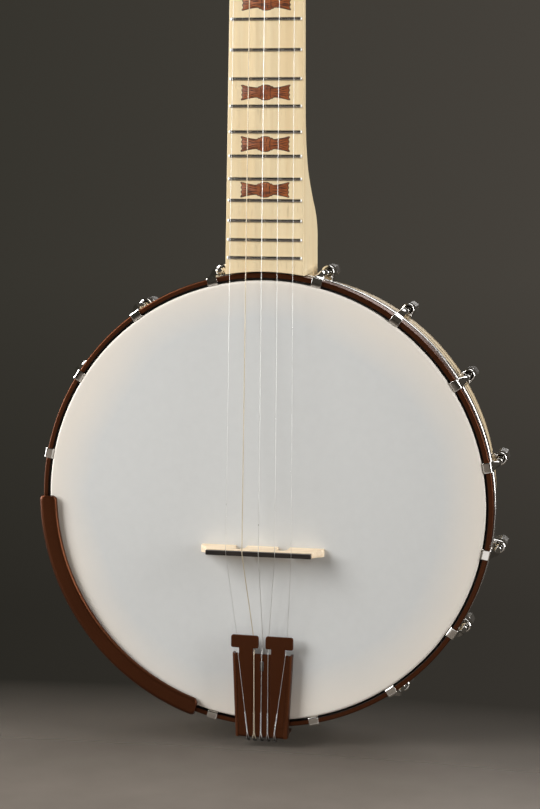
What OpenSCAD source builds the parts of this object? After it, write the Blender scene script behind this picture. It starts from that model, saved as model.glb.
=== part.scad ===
// Open-back five-string banjo with an eleven-inch pot.
// It is laid out face up (x across, y towards the headstock, z out of the head, zero at the
// centre of the head) and then stood upright with its face towards -Y and its neck up +Z.
// The origin of the finished model is where a wall hanger grips the neck, behind the nut.

/* [Pot] */
// Outside radius of the wooden rim
rim_r = 139.3; // [138.5:0.1:139.4]
// Thickness of the rim's wall
rim_wall = 13; // [11:0.5:15]
// Depth of the rim behind the playing surface of the head
rim_depth = 72.5; // [68:0.5:78]
// Thickness of the head's membrane
head_t = 0.35; // [0.25:0.05:0.4]
// Inside radius of the tension hoop
hoop_in = 140.8; // [140.7:0.1:141.2]
// Outside radius of the tension hoop
hoop_out = 144.4; // [143.8:0.1:144.4]
// Height of the tension hoop
hoop_h = 11; // [9:0.5:11]
// Height of the flesh hoop under it
flesh_h = 6.2; // [5:0.1:6.2]

/* [Hooks] */
// Number of hooks on each side of the neck line
hooks_per_side = 8; // [6:1:8]
// Angle from the neck line to the first hook, the same at the tail
first_hook = 13.4; // [13:0.1:14]
// Width of a hook's flat claw
claw_w = 6.4; // [6:0.1:8.5]
// Radius at which the hooks' rods stand
rod_ring = 147.8; // [147.6:0.1:148.5]
// Radius of a hook's rod
hook_rod_r = 2.1; // [1.8:0.1:2.2]

/* [Neck] */
// String length from nut to bridge
scale_len = 665.2; // [655:0.1:675]
// Number of frets
fret_count = 22; // [20:1:22]
// Distance of the bridge from the centre of the head, towards the tail
bridge_back = 32.9; // [28:0.1:38]
// Angle by which the neck leans back from the head
neck_tilt = 2.66; // [2.2:0.02:3]
// Thickness of the fingerboard
board_t = 4.8; // [4.5:0.1:5.5]
// Width of the nut
nut_w = 31.75; // [30:0.05:33]
// Angle by which the headstock leans back from the fingerboard
head_tilt = 14; // [10:0.5:16]
// Thickness of the headstock
headstock_t = 15; // [13:0.5:16]
// Length of the headstock
headstock_len = 176; // [165:1:185]

/* [Strings] */
// Spacing of the strings at the bridge
bridge_pitch = 10.4; // [10:0.1:11]
// Spacing of the strings at the nut
nut_pitch = 8.3; // [7.8:0.1:8.6]
// Height of the bridge
bridge_h = 15.9; // [14:0.1:17]
// Length of the bridge at its feet
bridge_len = 78.6; // [72:0.2:82]

/* [Tuners] */
// Teeth on each worm wheel
wheel_teeth = 14; // [14:1:14]
// Pitch radius of the worm wheel
wheel_r = 5.5; // [5.5:0.1:5.5]
// Distance from a post's axis to its worm's axis
worm_gap = 7.6; // [7.6:0.1:7.7]
// Radius of a string post
post_r = 3; // [3:0.1:3.2]

/* [Armrest] */
// Angle clockwise from the neck line at which the armrest starts
arm_from = 198; // [198:0.5:206]
// Angle at which it ends
arm_to = 270; // [262:0.5:270]

/* [Hidden] */
$fn = 48;
ring_fn = 180;
gap = 0.05;

// Heights in the pot, measured from the head
hoop_top = -1.2;
hoop_low = hoop_top - hoop_h;
flesh_top = hoop_low - 0.1;
flesh_low = flesh_top - flesh_h;
flesh_out = 144.9;
collar_r = rim_r + 0.45;
shoe_top = -33;
shoe_low = -50;
ear_low = -43;
shoe_bolt_z = -42;
nut_low = -58;
lag_z = -28;
rod_z = -50;
rod_r = 4;
tail_bracket_out = 147.6;
clamp_angles = [226.3, 248.2];
// The armrest's arc is centred a little to the right of the pot's axis
arm_shift = 0.5;
hook_step = (180 - 2 * first_hook) / (hooks_per_side - 1);
hook_angles = [for (side = [-1, 1]) for (i = [0 : hooks_per_side - 1])
    side * (first_hook + i * hook_step)];
// Half-length of the bridge's cap, and where its two arches stand and how wide they are
cap_half = 33.6;
cap_h = 3;
arch_x = 13.6;
arch_r = 3.4;

// Neck frame: origin at the pot end of the fingerboard's surface, y along the board
fret_h = 1;
neck_y0 = 145;
last_fret_y = 153.8;
neck_z0 = fret_h + (last_fret_y - neck_y0) * tan(neck_tilt);
nut_y = (scale_len - bridge_back - neck_y0) / cos(neck_tilt);
nut_t = 4;
treble_foot = 25.2;
bass_foot = -24.2;
nut_x = 2.5;
shoulder_from = 330;
shoulder_to = 345;
bass_wide = -22.8;
bass_narrow = -14;
end_gap_r = flesh_out + 0.4;
dot_frets = [3, 5, 7, 10, 12, 15, 17, 19];
// Sections of the neck, [y, side wall depth, full depth]; the heel is deep with straight sides
heel_sections = [[-9, 46, 62], [24, 46, 62], [32, 44, 58], [39, 39, 52], [46, 31, 43],
    [54, 23, 34.5], [62, 16, 29], [72, 11, 25.5], [84, 7.5, 24], [100, 6, 23.4]];
shaft_sections = [[210, 5.4, 22.6], [shoulder_from - 4, 5.2, 22], [shoulder_from + 4, 5.2, 21.8],
    [shoulder_from + 8, 5.2, 21.6], [shoulder_to - 3, 5.2, 21.4], [shoulder_to + 2, 5.2, 21.2],
    [420, 5, 20.4], [nut_y - 12, 5, 19.6], [nut_y - 1, 5, 20.5]];
neck_steps = 16;

// Headstock frame: origin behind the nut on the neck's front face
// Its outline runs through the throat, lower cheek, waist and brow, [y, half-width]
headstock_shape = [[0, 16.2], [46, 32.5], [82, 29.8], [126, 34]];
brow_y = headstock_shape[3][0];
brow_half = headstock_shape[3][1];
tuner_spots = [[20, 45], [20, 100], [-20, 100], [-20, 45]];
wheel_mid = -headstock_t - 5.6;
bush_r = 4.5;
post_waist = 2.3;
coil_turns = 3;
coil_z = 10.2;
// Single-start worm; one section across it is [angle, radius] from the crest round the root
worm_pitch = 2 * PI * wheel_r / wheel_teeth;
worm_root = 1.25;
worm_crest = 2.7;
worm_shaft = 1.8;
crest_half = 33;
foot_half = 92;
worm_steps = 36;
worm_section = concat([for (a = [crest_half, 0, -crest_half]) [a, worm_crest]],
    [for (i = [0 : 6]) [lerp(-foot_half, foot_half - 360, i / 6), worm_root]]);

// Fifth-string tuner: its place in the neck frame, its spool, its arbor and its case
fifth_y = 351;
fifth_z = -8;
fifth_x = -13.2;
spool_r = 2.8;
arbor_r = 1.35;
case_from = 10.8;

// Strings one to four run left to right as four to one; the fifth is outermost at the bass side
wire_r = [0.125, 0.15, 0.205, 0.29, 0.125];
wire_sides = 8;
slot_floor = 1.4;
pip_floor = 1.35;
pip_r = 2;
// The bridge stands a little nearer to the neck than the scale length ends
bridge_y = 3 - bridge_back;
bridge_x = [for (i = [0 : 4]) 0.4 + (2 - i) * bridge_pitch];
nut_string_x = [for (i = [0 : 3]) nut_x + (1.5 - i) * nut_pitch];
fifth_string_x = -20.2;
pip_y = 331;

// Tailpiece frame: origin at the middle of its tail edge, y towards the bridge
tail_y = -149.8;
tail_x = 0.6;
tail_skew = -0.5;
tail_len = 66.2;
plate_top = 7.6;
plate_t = 1.6;
tail_hook_pitch = 4.35;
head_slot_x = [15.9, 4.1, 0, -6.1, -16.8];
notch_x = [15.3, 4, 0, -5, -15.3];
shelf_y = tail_len - 8.2;
tongue_y = shelf_y - 3.2;
tail_screw_x = 5;
tail_screw_z = -9;

// Where a hanger grips the neck, behind the nut
hanger_y = 640;
hanger_z = -33;

function rotx(v, a) = [v[0], v[1] * cos(a) - v[2] * sin(a), v[1] * sin(a) + v[2] * cos(a)];
function neck_pt(p) = [0, neck_y0, neck_z0] + rotx(p, -neck_tilt);
function head_pt(p) = neck_pt([nut_x, nut_y + nut_t, -board_t] + rotx(p, -head_tilt));
function tail_pt(p) = [tail_x + p[0] * cos(tail_skew) - p[1] * sin(tail_skew),
    tail_y + p[0] * sin(tail_skew) + p[1] * cos(tail_skew), p[2]];
function fret_y(n) = (scale_len / pow(2, n / 12) - bridge_back - neck_y0) / cos(neck_tilt);
function lerp(a, b, t) = a + (b - a) * t;
function ease(t) = let (c = min(1, max(0, t))) c * c * (3 - 2 * c);
function treble_x(y) = lerp(treble_foot, nut_x + nut_w / 2, y / nut_y);
function bass_x(y) = y < shoulder_from ? lerp(bass_foot, bass_wide, y / shoulder_from)
    : lerp(bass_wide, lerp(bass_narrow, nut_x - nut_w / 2, (y - shoulder_to) / (nut_y - shoulder_to)),
        ease((y - shoulder_from) / (shoulder_to - shoulder_from)));
function arc(cx, cy, r, from, to, n = 8) = [for (i = [0 : n]) let (a = lerp(from, to, i / n))
    [cx + r * cos(a), cy + r * sin(a)]];

module upright() {
    translate([0, 0, -hanger_y]) translate([0, hanger_z, 0]) rotate([90, 0, 0]) children();
}
module at_angle(a) { rotate([0, 0, -a]) children(); }
module each_hook() { for (a = hook_angles) at_angle(a) children(); }
module neck_frame() { translate([0, neck_y0, neck_z0]) rotate([-neck_tilt, 0, 0]) children(); }
module headstock_frame() {
    neck_frame() translate([nut_x, nut_y + nut_t, -board_t]) rotate([-head_tilt, 0, 0]) children();
}
module radial(r, z) { translate([0, r, z]) rotate([-90, 0, 0]) children(); }
module ring(r_in, r_out, z_low, z_high, edge) {
    rotate_extrude($fn = ring_fn)
        polygon([[r_in + edge, z_low], [r_out - edge, z_low], [r_out, z_low + edge],
            [r_out, z_high - edge], [r_out - edge, z_high], [r_in + edge, z_high],
            [r_in, z_high - edge], [r_in, z_low + edge]]);
}
module hex(across, h) { cylinder(r = across / sqrt(3), h = h, $fn = 6); }
module washer(r_out, r_in, t) {
    difference() {
        cylinder(r = r_out, h = t);
        translate([0, 0, -1]) cylinder(r = r_in, h = t + 2);
    }
}

// ---- Pot ----
module rim() {
    r_in = rim_r - rim_wall;
    top = -head_t - gap;
    color("burlywood") upright() difference() {
        rotate_extrude($fn = ring_fn)
            polygon([[r_in + 1.5, -rim_depth], [rim_r - 1.5, -rim_depth], [rim_r, 1.5 - rim_depth],
                [rim_r, top - 2.2], [rim_r - 0.6, top - 0.8], [rim_r - 1.8, top],
                [rim_r - 5, top], [rim_r - 7, top - 2.5], [r_in, top - 3.5], [r_in, 1.5 - rim_depth]]);
        each_hook() radial(rim_r - rim_wall - 2, shoe_bolt_z) cylinder(r = 2.6, h = rim_wall + 4);
        for (z = [lag_z, rod_z]) radial(r_in - 2, z) cylinder(r = rod_r + 0.2, h = rim_wall + 4);
        at_angle(180) radial(r_in - 2, rod_z) cylinder(r = rod_r + 0.2, h = rim_wall + 4);
        at_angle(180) radial(r_in - 2, lag_z) cylinder(r = 2.7, h = rim_wall + 4);
    }
}
module head() {
    t = head_t;
    color("whitesmoke") upright() rotate_extrude($fn = ring_fn)
        polygon([[0, 0], [collar_r - 1.2, 0], [collar_r - 0.35, -0.35], [collar_r, -1.2],
            [collar_r, flesh_low + 1], [collar_r - t, flesh_low + 1], [collar_r - t, -1.3],
            [collar_r - 0.6, -0.6], [collar_r - 1.3, -t], [0, -t]]);
}
module flesh_hoop() {
    color("silver") upright() ring(collar_r + 0.1, flesh_out, flesh_low, flesh_top, 0.5);
}
module tension_hoop() {
    color("saddlebrown") upright() ring(hoop_in, hoop_out, hoop_low, hoop_top, 0.45);
}
module bracket_hooks() {
    lip = collar_r + 0.15;
    strap = hoop_out + 0.1;
    outer = strap + 1.25;
    color("gainsboro") upright() each_hook() {
        intersection() {
            translate([claw_w / 2, 0, 0]) rotate([90, 0, -90]) linear_extrude(claw_w)
                polygon(concat([[lip, -3.4], [hoop_in - 0.1, -3.4], [hoop_in - 0.1, hoop_top + gap],
                    [strap, hoop_top + gap], [strap, -8.4], [rod_ring - 1, -12], [rod_ring + 1.6, -12],
                    [rod_ring + 1.6, -8.8], [outer, -5.4]],
                    arc(outer - 1.5, -1.5, 1.5, 0, 90, 5), arc(lip + 0.6, -0.6, 0.6, 90, 180, 4)));
            translate([0, 100, 0]) rotate([-90, 0, 0]) linear_extrude(100)
                polygon([[-claw_w / 2, -1], [claw_w / 2, -1], [claw_w / 2, 4.6], [hook_rod_r, 9.5],
                    [hook_rod_r, 13], [-hook_rod_r, 13], [-hook_rod_r, 9.5], [-claw_w / 2, 4.6]]);
        }
        translate([0, rod_ring, nut_low + 3]) cylinder(r = hook_rod_r, h = -10 - nut_low - 3);
        translate([0, rod_ring, -10]) sphere(r = hook_rod_r);
    }
}
module bracket_shoes() {
    color("silver") upright() each_hook() difference() {
        union() {
            translate([-4.2, rim_r + 0.06, shoe_low]) cube([8.4, 4.6, shoe_top - shoe_low]);
            translate([-4.2, rim_r + 0.06, ear_low]) cube([8.4, rod_ring - rim_r, shoe_top - ear_low]);
            translate([0, rod_ring, ear_low]) cylinder(r = 4.2, h = shoe_top - ear_low);
        }
        translate([0, rod_ring, ear_low - 1]) cylinder(r = hook_rod_r + 0.3, h = 30);
        radial(rim_r - 1, shoe_bolt_z) cylinder(r = 2.45, h = 5.2);
    }
}
module hook_nuts() {
    color("gainsboro") upright() each_hook() translate([0, rod_ring, 0]) difference() {
        union() {
            translate([0, 0, nut_low]) hex(7.2, ear_low - gap - nut_low);
            translate([0, 0, nut_low - 1.6]) cylinder(r = 3, h = 2);
        }
        translate([0, 0, nut_low + 1]) cylinder(r = hook_rod_r + 0.05, h = 20);
    }
}
module shoe_bolts() {
    r_in = rim_r - rim_wall;
    color("silver") upright() each_hook() difference() {
        union() {
            radial(r_in - 4.3, shoe_bolt_z) cylinder(r = 4, h = 2.9);
            radial(r_in - 1.5, shoe_bolt_z) cylinder(r = 2.4, h = rim_wall + 5.6);
        }
        translate([-0.6, r_in - 5, shoe_bolt_z - 5]) cube([1.2, 1.9, 10]);
    }
}
module shoe_washers() {
    r_in = rim_r - rim_wall;
    color("silver") upright() each_hook() radial(r_in - 1.35, shoe_bolt_z) washer(5.2, 2.5, 1.1);
}
module coordinator_rod() {
    r_in = rim_r - rim_wall;
    color("silver") upright() difference() {
        translate([0, -rim_r - 4, rod_z]) rotate([-90, 0, 0])
            cylinder(r = rod_r, h = rim_r + r_in + 2.5);
        translate([0, r_in - 14, rod_z]) rotate([-90, 0, 0]) cylinder(r = 2.9, h = 20);
    }
}
module rod_nuts() {
    r_in = rim_r - rim_wall;
    color("silver") upright() {
        at_angle(180) radial(r_in - 8.2, rod_z) difference() {
            hex(13, 6.4);
            translate([0, 0, -1]) cylinder(r = rod_r + gap, h = 9);
        }
        at_angle(180) radial(rim_r + 1.5, rod_z) difference() {
            hex(13, 6);
            translate([0, 0, -1]) cylinder(r = rod_r + gap, h = 4.6);
        }
        radial(r_in - 8.4, lag_z) difference() {
            hex(11, 6.4);
            translate([0, 0, -1]) cylinder(r = 2.9, h = 9);
        }
    }
}
module rod_washers() {
    r_in = rim_r - rim_wall;
    color("silver") upright() {
        at_angle(180) radial(r_in - 1.7, rod_z) washer(8, rod_r + 0.1, 1.3);
        at_angle(180) radial(rim_r + 0.1, rod_z) washer(8, rod_r + 0.1, 1.3);
        radial(r_in - 1.9, lag_z) washer(8, 2.95, 1.5);
    }
}
module neck_lag_bolts() {
    r_in = rim_r - rim_wall;
    color("silver") upright() for (z = [lag_z, rod_z]) radial(r_in - 10, z) {
        cylinder(r = 2.85, h = rim_wall + 18);
        translate([0, 0, rim_wall + 18]) cylinder(r = 2.4, h = 20);
    }
}

// ---- Tailpiece ----
module tail_frame() { translate([tail_x, tail_y, 0]) rotate([0, 0, tail_skew]) children(); }
module tail_plan() {
    foot = 16.4;
    half = 19;
    stem_w = 9;
    head_w = 17.8;
    plate_end = tongue_y - 0.4;
    difference() {
        union() {
            polygon([[-foot, 0], [foot, 0], [half, plate_end], [-half, plate_end]]);
            for (s = [-1, 1]) {
                translate([s * 10.3 - stem_w / 2, tongue_y - 2]) square([stem_w, 10]);
                translate([s * 11.1 - head_w / 2, shelf_y]) square([head_w, tail_len - shelf_y]);
            }
        }
        translate([-1.2, tongue_y - 11.5]) square([2.4, 7]);
    }
}
module tailpiece() {
    flange = 6.2;
    wall_low = -15;
    color("saddlebrown") upright() tail_frame() {
        translate([0, 0, plate_top - plate_t]) linear_extrude(plate_t) tail_plan();
        for (s = [-1, 1]) {
            translate([0, 0, plate_top - flange]) linear_extrude(flange - 0.3)
                polygon([[s * 15, 0.4], [s * 16.8, 0.4], [s * 19.4, tongue_y - 0.6], [s * 17.6, tongue_y - 0.6]]);
        }
        difference() {
            translate([-16.2, 0, wall_low]) cube([32.4, 1.8, plate_top - wall_low - 0.4]);
            for (s = [-1, 1]) translate([s * tail_screw_x, -1, tail_screw_z])
                rotate([-90, 0, 0]) cylinder(r = 1.7, h = 5);
        }
        for (i = [-2 : 2]) translate([i * tail_hook_pitch, 0.6, plate_top - 3]) rotate([90, 0, 0]) {
            cylinder(r = 0.9, h = 2.6);
            translate([0, 0, 2.2]) cylinder(r = 1.25, h = 0.8);
        }
    }
}
module tailpiece_bracket() {
    inner = flesh_out + 0.3;
    color("silver") upright() difference() {
        union() {
            translate([-8, -tail_bracket_out, -36]) cube([16, tail_bracket_out - inner, 33]);
            translate([-8, -inner - 1, -36]) cube([16, inner + 1 - rim_r - 0.3, 15.5]);
        }
        at_angle(180) radial(rim_r - 2, lag_z) cylinder(r = 2.6, h = 20);
        tail_frame() for (s = [-1, 1]) translate([s * tail_screw_x, -1, tail_screw_z])
            rotate([-90, 0, 0]) cylinder(r = 1.45, h = 8);
    }
}
module tailpiece_bolts() {
    r_in = rim_r - rim_wall;
    color("silver") upright() {
        at_angle(180) {
            radial(r_in - 7, lag_z) cylinder(r = 2.5, h = tail_bracket_out - r_in + 7);
            radial(tail_bracket_out + 0.02, lag_z) cylinder(r = 4.6, h = 2.6);
            radial(r_in - 6, lag_z) difference() {
                hex(9, 4.4);
                translate([0, 0, -1]) cylinder(r = 2.55, h = 8);
            }
            radial(r_in - 1.5, lag_z) washer(6, 2.6, 1.2);
        }
        tail_frame() for (s = [-1, 1]) translate([s * tail_screw_x, -1.2, tail_screw_z])
            rotate([-90, 0, 0]) {
                cylinder(r = 1.4, h = 4.6);
                cylinder(r = 2.8, h = 1.18);
            }
    }
}

// ---- Armrest ----
module arm_sector(from, to, r) {
    polygon(concat([[0, 0]],
        [for (i = [0 : 6]) let (a = 90 - lerp(from, to, i / 6)) [r * cos(a), r * sin(a)]]));
}
module armrest() {
    color("saddlebrown") upright() {
        intersection() {
            translate([arm_shift, 0, 0]) rotate_extrude($fn = ring_fn)
                polygon(concat([[135.1, 1.4], [134.8, 2.2], [135.4, 4], [136.4, 4.7]],
                    arc(143.2, 1.6, 3.2, 85, 0, 8), [[146.4, 0.8], [145.3, 0.8]],
                    arc(143.2, 1.6, 2.1, 0, 88, 5), [[137, 3.4], [136.2, 1.4]]));
            translate([0, 0, -10]) linear_extrude(30) arm_sector(arm_from, arm_to, 200);
        }
    }
}
module armrest_clamps() {
    color("silver") upright() for (a = clamp_angles) at_angle(a) {
        translate([-4, 145.2, -21]) cube([8, 1.2, 21.7]);
        translate([-4, 140.9, -21]) cube([8, 4.4, 1.6]);
        translate([-3, 143.2, -0.4]) cube([6, 2.1, 1]);
        translate([0, 143.6, 0.5]) cylinder(r = 0.6, h = 2.6);
        translate([0, 143, -24.5]) cylinder(r = 2.6, h = 3.45);
    }
}

// ---- Bridge ----
module bridge_plan() {
    half = bridge_len / 2;
    foot = 3;
    cap_low = bridge_h - cap_h;
    difference() {
        polygon([[-half, 0], [half, 0], [half, foot], [half - 3.4, foot + 2.6],
            [cap_half, cap_low], [cap_half, bridge_h], [-cap_half, bridge_h], [-cap_half, cap_low],
            [3.4 - half, foot + 2.6], [-half, foot]]);
        for (s = [-1, 1]) translate([s * arch_x, 0]) {
            translate([-arch_r, -1]) square([2 * arch_r, 6]);
            translate([0, 5]) circle(r = arch_r);
        }
    }
}
module bridge_wedge() {
    rotate([90, 0, 0]) translate([0, 0, -3]) linear_extrude(6) bridge_plan();
}
module bridge_slots() {
    for (x = bridge_x) translate([x, 5, bridge_h + 0.1]) rotate([90, 0, 0]) cylinder(r = 0.5, h = 10);
}
module bridge_slice(low, high) {
    foot = 2.6;
    top = lerp(foot, 1.35, high / bridge_h);
    intersection() {
        bridge_wedge();
        rotate([90, 0, 90]) translate([0, 0, -50]) linear_extrude(100)
            polygon([[-foot, low], [foot, low], [top, high], [-top, high]]);
    }
}
module bridge_base() {
    color("bisque") upright() translate([0, bridge_y, gap]) bridge_slice(0, bridge_h - cap_h);
}
module bridge_saddle() {
    color("#2a211c") upright() translate([0, bridge_y, gap]) difference() {
        intersection() {
            bridge_wedge();
            translate([-50, -1.45, bridge_h - cap_h]) cube([100, 2.9, cap_h]);
        }
        bridge_slots();
    }
}

// ---- Neck ----
function neck_square(s) = lerp(1, 0.55, ease((s[2] - 24) / 30));
function neck_ring(s) = let (l = bass_x(s[0]), r = treble_x(s[0]), c = (l + r) / 2, w = (r - l) / 2)
    concat([[l, s[0], -board_t]], [for (i = [0 : neck_steps]) let (a = 180 + 180 * i / neck_steps)
        [c + w * sign(cos(a)) * pow(abs(cos(a)), neck_square(s)), s[0],
            -s[1] + (s[2] - s[1]) * sin(a)]], [[r, s[0], -board_t]]);
module loft(rings) {
    n = len(rings[0]);
    m = len(rings);
    polyhedron(points = [for (r = rings) for (p = r) p],
        faces = concat([[for (i = [0 : n - 1]) n - 1 - i]], [[for (i = [0 : n - 1]) (m - 1) * n + i]],
            [for (j = [0 : m - 2]) for (i = [0 : n - 1]) for (t = [0, 1])
                t == 0 ? [j * n + i, j * n + (i + 1) % n, (j + 1) * n + i]
                    : [(j + 1) * n + i, j * n + (i + 1) % n, (j + 1) * n + (i + 1) % n]]));
}
function outline_half(t) = let (o = headstock_shape, i = t < o[1][0] ? 0 : t < o[2][0] ? 1 : 2)
    lerp(o[i][1], o[i + 1][1], ease((t - o[i][0]) / (o[i + 1][0] - o[i][0])));
module headstock_plan() {
    steps = 24;
    crown_h = headstock_len - brow_y;
    round = 0.85;
    side = [for (i = [0 : steps - 1]) [outline_half(brow_y * i / steps), brow_y * i / steps]];
    crown = [for (a = [0 : 10 : 180])
        [brow_half * sign(cos(a)) * pow(abs(cos(a)), round), brow_y + crown_h * pow(sin(a), round)]];
    polygon(concat(side, crown, [for (i = [steps - 1 : -1 : 0]) [-side[i][0], side[i][1]]]));
}
function mid_fret(n) = (fret_y(n) + fret_y(n - 1)) / 2;
module neck() {
    color("burlywood") upright() difference() {
        union() {
            neck_frame() loft([for (s = concat(heel_sections, shaft_sections)) neck_ring(s)]);
            headstock_frame() {
                translate([0, 0, -headstock_t]) linear_extrude(headstock_t) headstock_plan();
                translate([-nut_w / 2, -nut_t, -headstock_t - 1]) cube([nut_w, 10, headstock_t]);
            }
        }
        translate([0, 0, flesh_low - 0.6]) cylinder(r = end_gap_r, h = 40, $fn = ring_fn);
        translate([0, 0, -100]) cylinder(r = rim_r + 0.1, h = 200, $fn = ring_fn);
        for (z = [lag_z, rod_z]) radial(rim_r - 1, z) {
            cylinder(r = 2.9, h = rim_wall - 4);
            cylinder(r = 2.45, h = 36);
        }
        headstock_frame() for (p = tuner_spots) translate([p[0], p[1], -headstock_t - 5])
            cylinder(r = bush_r + 0.1, h = headstock_t + 10);
        for (n = [0 : 3]) tuner_place(n) screw_place()
            translate([0, 0, -headstock_t - 5]) cylinder(r = 0.95, h = 13);
        neck_frame() translate([fifth_x, fifth_y, fifth_z]) rotate([0, 90, 0]) {
            translate([0, 0, -8]) cylinder(r = 3.05, h = 20);
            translate([0, 0, -8]) cylinder(r = 5.5, h = 8);
        }
        neck_frame() for (n = dot_frets) side_dot(n, 0.04);
        neck_frame() translate([nut_x - 40, nut_y, -board_t - 0.01]) cube([80, nut_t, 30]);
    }
}
module side_dot(n, extra) {
    translate([bass_x(mid_fret(n)) - 1, mid_fret(n), -board_t - 2.2]) rotate([0, 90, 0])
        cylinder(r = 1 + extra, h = 2.5 + extra);
}
module side_dots() {
    color("#3a2a20") upright() neck_frame() for (n = dot_frets) intersection() {
        side_dot(n, 0);
        translate([bass_x(mid_fret(n)) + 0.1, mid_fret(n) - 5, -20]) cube([10, 10, 20]);
    }
}
module inlay_plan(extra) {
    quarter = [[0, 4.6], [2.6, 4.5], [4.4, 3.4], [6, 3], [15.2, 4.6], [14.2, 2.6], [15, 1.1], [14, 0]];
    grow = [for (p = quarter) [p[0] + sign(p[0]) * extra, p[1] + sign(p[1]) * extra]];
    for (sx = [0, 1]) for (sy = [0, 1]) mirror([sx, 0]) mirror([0, sy]) polygon(concat([[0, 0]], grow));
}
module each_inlay() {
    for (n = dot_frets) let (y = (fret_y(n) + fret_y(n - 1)) / 2)
        translate([(bass_x(y) + treble_x(y)) / 2, y, 0]) children();
}
module fingerboard() {
    steps = 6;
    color("burlywood") upright() difference() {
        neck_frame() translate([0, 0, -board_t + 0.02]) linear_extrude(board_t - 0.02)
            polygon(concat([[treble_x(-6), -6], [treble_x(nut_y), nut_y], [bass_x(nut_y), nut_y]],
                [for (i = [0 : steps]) let (y = lerp(shoulder_to, shoulder_from, i / steps))
                    [bass_x(y), y]],
                [[bass_x(-6), -6]]));
        translate([0, 0, -30]) cylinder(r = end_gap_r, h = 60, $fn = ring_fn);
        neck_frame() for (n = [1 : fret_count])
            translate([-40, fret_y(n) - 0.3, -1.6]) cube([80, 0.6, 5]);
        neck_frame() each_inlay() translate([0, 0, -1.25]) linear_extrude(3) inlay_plan(0.06);
        neck_frame() translate([fifth_string_x, pip_y, -4]) cylinder(r = 1.25, h = 10);
        neck_frame() translate([fifth_x - 8, fifth_y, fifth_z])
            rotate([0, 90, 0]) cylinder(r = 5.5, h = 8);
    }
}
module frets() {
    w = 2.2;
    r = (w * w / 4 + fret_h * fret_h) / (2 * fret_h);
    inset = 0.9;
    color("silver") upright() neck_frame() for (n = [1 : fret_count]) {
        y = fret_y(n);
        left = bass_x(y) + inset;
        span = treble_x(y) - inset - left;
        translate([left, y, 0]) rotate([90, 0, 90]) linear_extrude(span) {
            intersection() {
                translate([0, fret_h - r]) circle(r = r);
                translate([-3, 0.02]) square([6, 3]);
            }
            translate([-0.25, -1.5]) square([0.5, 1.6]);
        }
    }
}
module fret_inlays() {
    color("sienna") upright() neck_frame() each_inlay()
        translate([0, 0, -1.2]) linear_extrude(1.2) inlay_plan(0);
}
module nut() {
    play = 0.03;
    color("ivory") upright() neck_frame() difference() {
        translate([nut_x - nut_w / 2, nut_y + gap, -board_t + 0.02])
            cube([nut_w, nut_t - 2 * gap, board_t + 2]);
        for (i = [0 : 3]) translate([nut_string_x[i], nut_y - 4, slot_floor + wire_r[i]]) {
            rotate([-90, 0, 0]) cylinder(r = wire_r[i] + play, h = 12);
            translate([-wire_r[i] - play, 0, 0]) cube([2 * (wire_r[i] + play), 12, 2]);
        }
    }
}
module fifth_string_nut() {
    color("ivory") upright() neck_frame() translate([fifth_string_x, pip_y, 0]) difference() {
        union() {
            translate([0, 0, -3.9]) cylinder(r = 1.2, h = 5.2);
            translate([0, 0, 0.02]) cylinder(r = pip_r, h = 2);
        }
        translate([-0.16, -5, pip_floor]) cube([0.32, 10, 2]);
    }
}

// ---- Strings ----
// A string is one closed tube whose rings stand square to the string's run at each point
function unit(v) = v / norm(v);
function wire_ring(points, i, r) = let (last = len(points) - 1,
    along = unit(points[min(last, i + 1)] - points[max(0, i - 1)]),
    side = unit(cross([0, 0, 1], along)), up = cross(along, side))
    [for (k = [0 : wire_sides - 1]) let (a = -360 * k / wire_sides)
        points[i] + r * cos(a) * side + r * sin(a) * up];
module wire(points, r) { loft([for (i = [0 : len(points) - 1]) wire_ring(points, i, r)]); }
function wire_end(n) = let (s = tuner_spots[n], w = wire_r[n], side = sign(s[0]))
    [s[0] - side * (post_waist + 3 * w + 0.2), s[1] - 1, coil_z + 1.5 * coil_turns * w];
// It runs over the tailpiece's plate, dips under the heads of the tailpiece and rises to the bridge
function tail_wire(n) = let (w = wire_r[n], over = plate_top + w + 0.08,
    under = plate_top - plate_t - w - 0.12) [
    tail_pt([(2 - n) * tail_hook_pitch, 0.2, over]),
    tail_pt([notch_x[n], tongue_y - 0.2, over]),
    tail_pt([notch_x[n], shelf_y - 0.5, under]),
    tail_pt([head_slot_x[n], tail_len + 0.4, under]),
    [bridge_x[n], bridge_y, bridge_h + w - 0.1]];
module string(n) {
    w = wire_r[n];
    color("silver") upright() wire(concat(tail_wire(n),
        [neck_pt([nut_string_x[n], nut_y - 0.6, slot_floor + w]),
            neck_pt([nut_string_x[n], nut_y + nut_t + 0.5, slot_floor + w]), head_pt(wire_end(n))]), w);
}
module string_1() { string(0); }
module string_2() { string(1); }
module string_3() { string(2); }
module string_4() { string(3); }
module string_5() {
    w = wire_r[4];
    reach = pip_r + 0.4;
    color("silver") upright() wire(concat(tail_wire(4),
        [neck_pt([fifth_string_x, pip_y - reach, pip_floor + w]),
            neck_pt([fifth_string_x, pip_y + reach, pip_floor + w]),
            neck_pt([fifth_string_x, fifth_y - 0.4, fifth_z + spool_r + 3 * w + 0.25])]), w);
}
module coil(w, waist) {
    for (i = [0 : coil_turns - 1]) translate([0, 0, i * (2 * w + 0.02)])
        rotate_extrude() translate([waist + w + 0.01, 0]) circle(r = w, $fn = 14);
}
module post_coil(n) {
    color("silver") upright() headstock_frame()
        translate([tuner_spots[n][0], tuner_spots[n][1], coil_z + wire_r[n]])
            coil(wire_r[n], post_waist);
}
module string_coil_1() { post_coil(0); }
module string_coil_2() { post_coil(1); }
module string_coil_3() { post_coil(2); }
module string_coil_4() { post_coil(3); }
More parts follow.
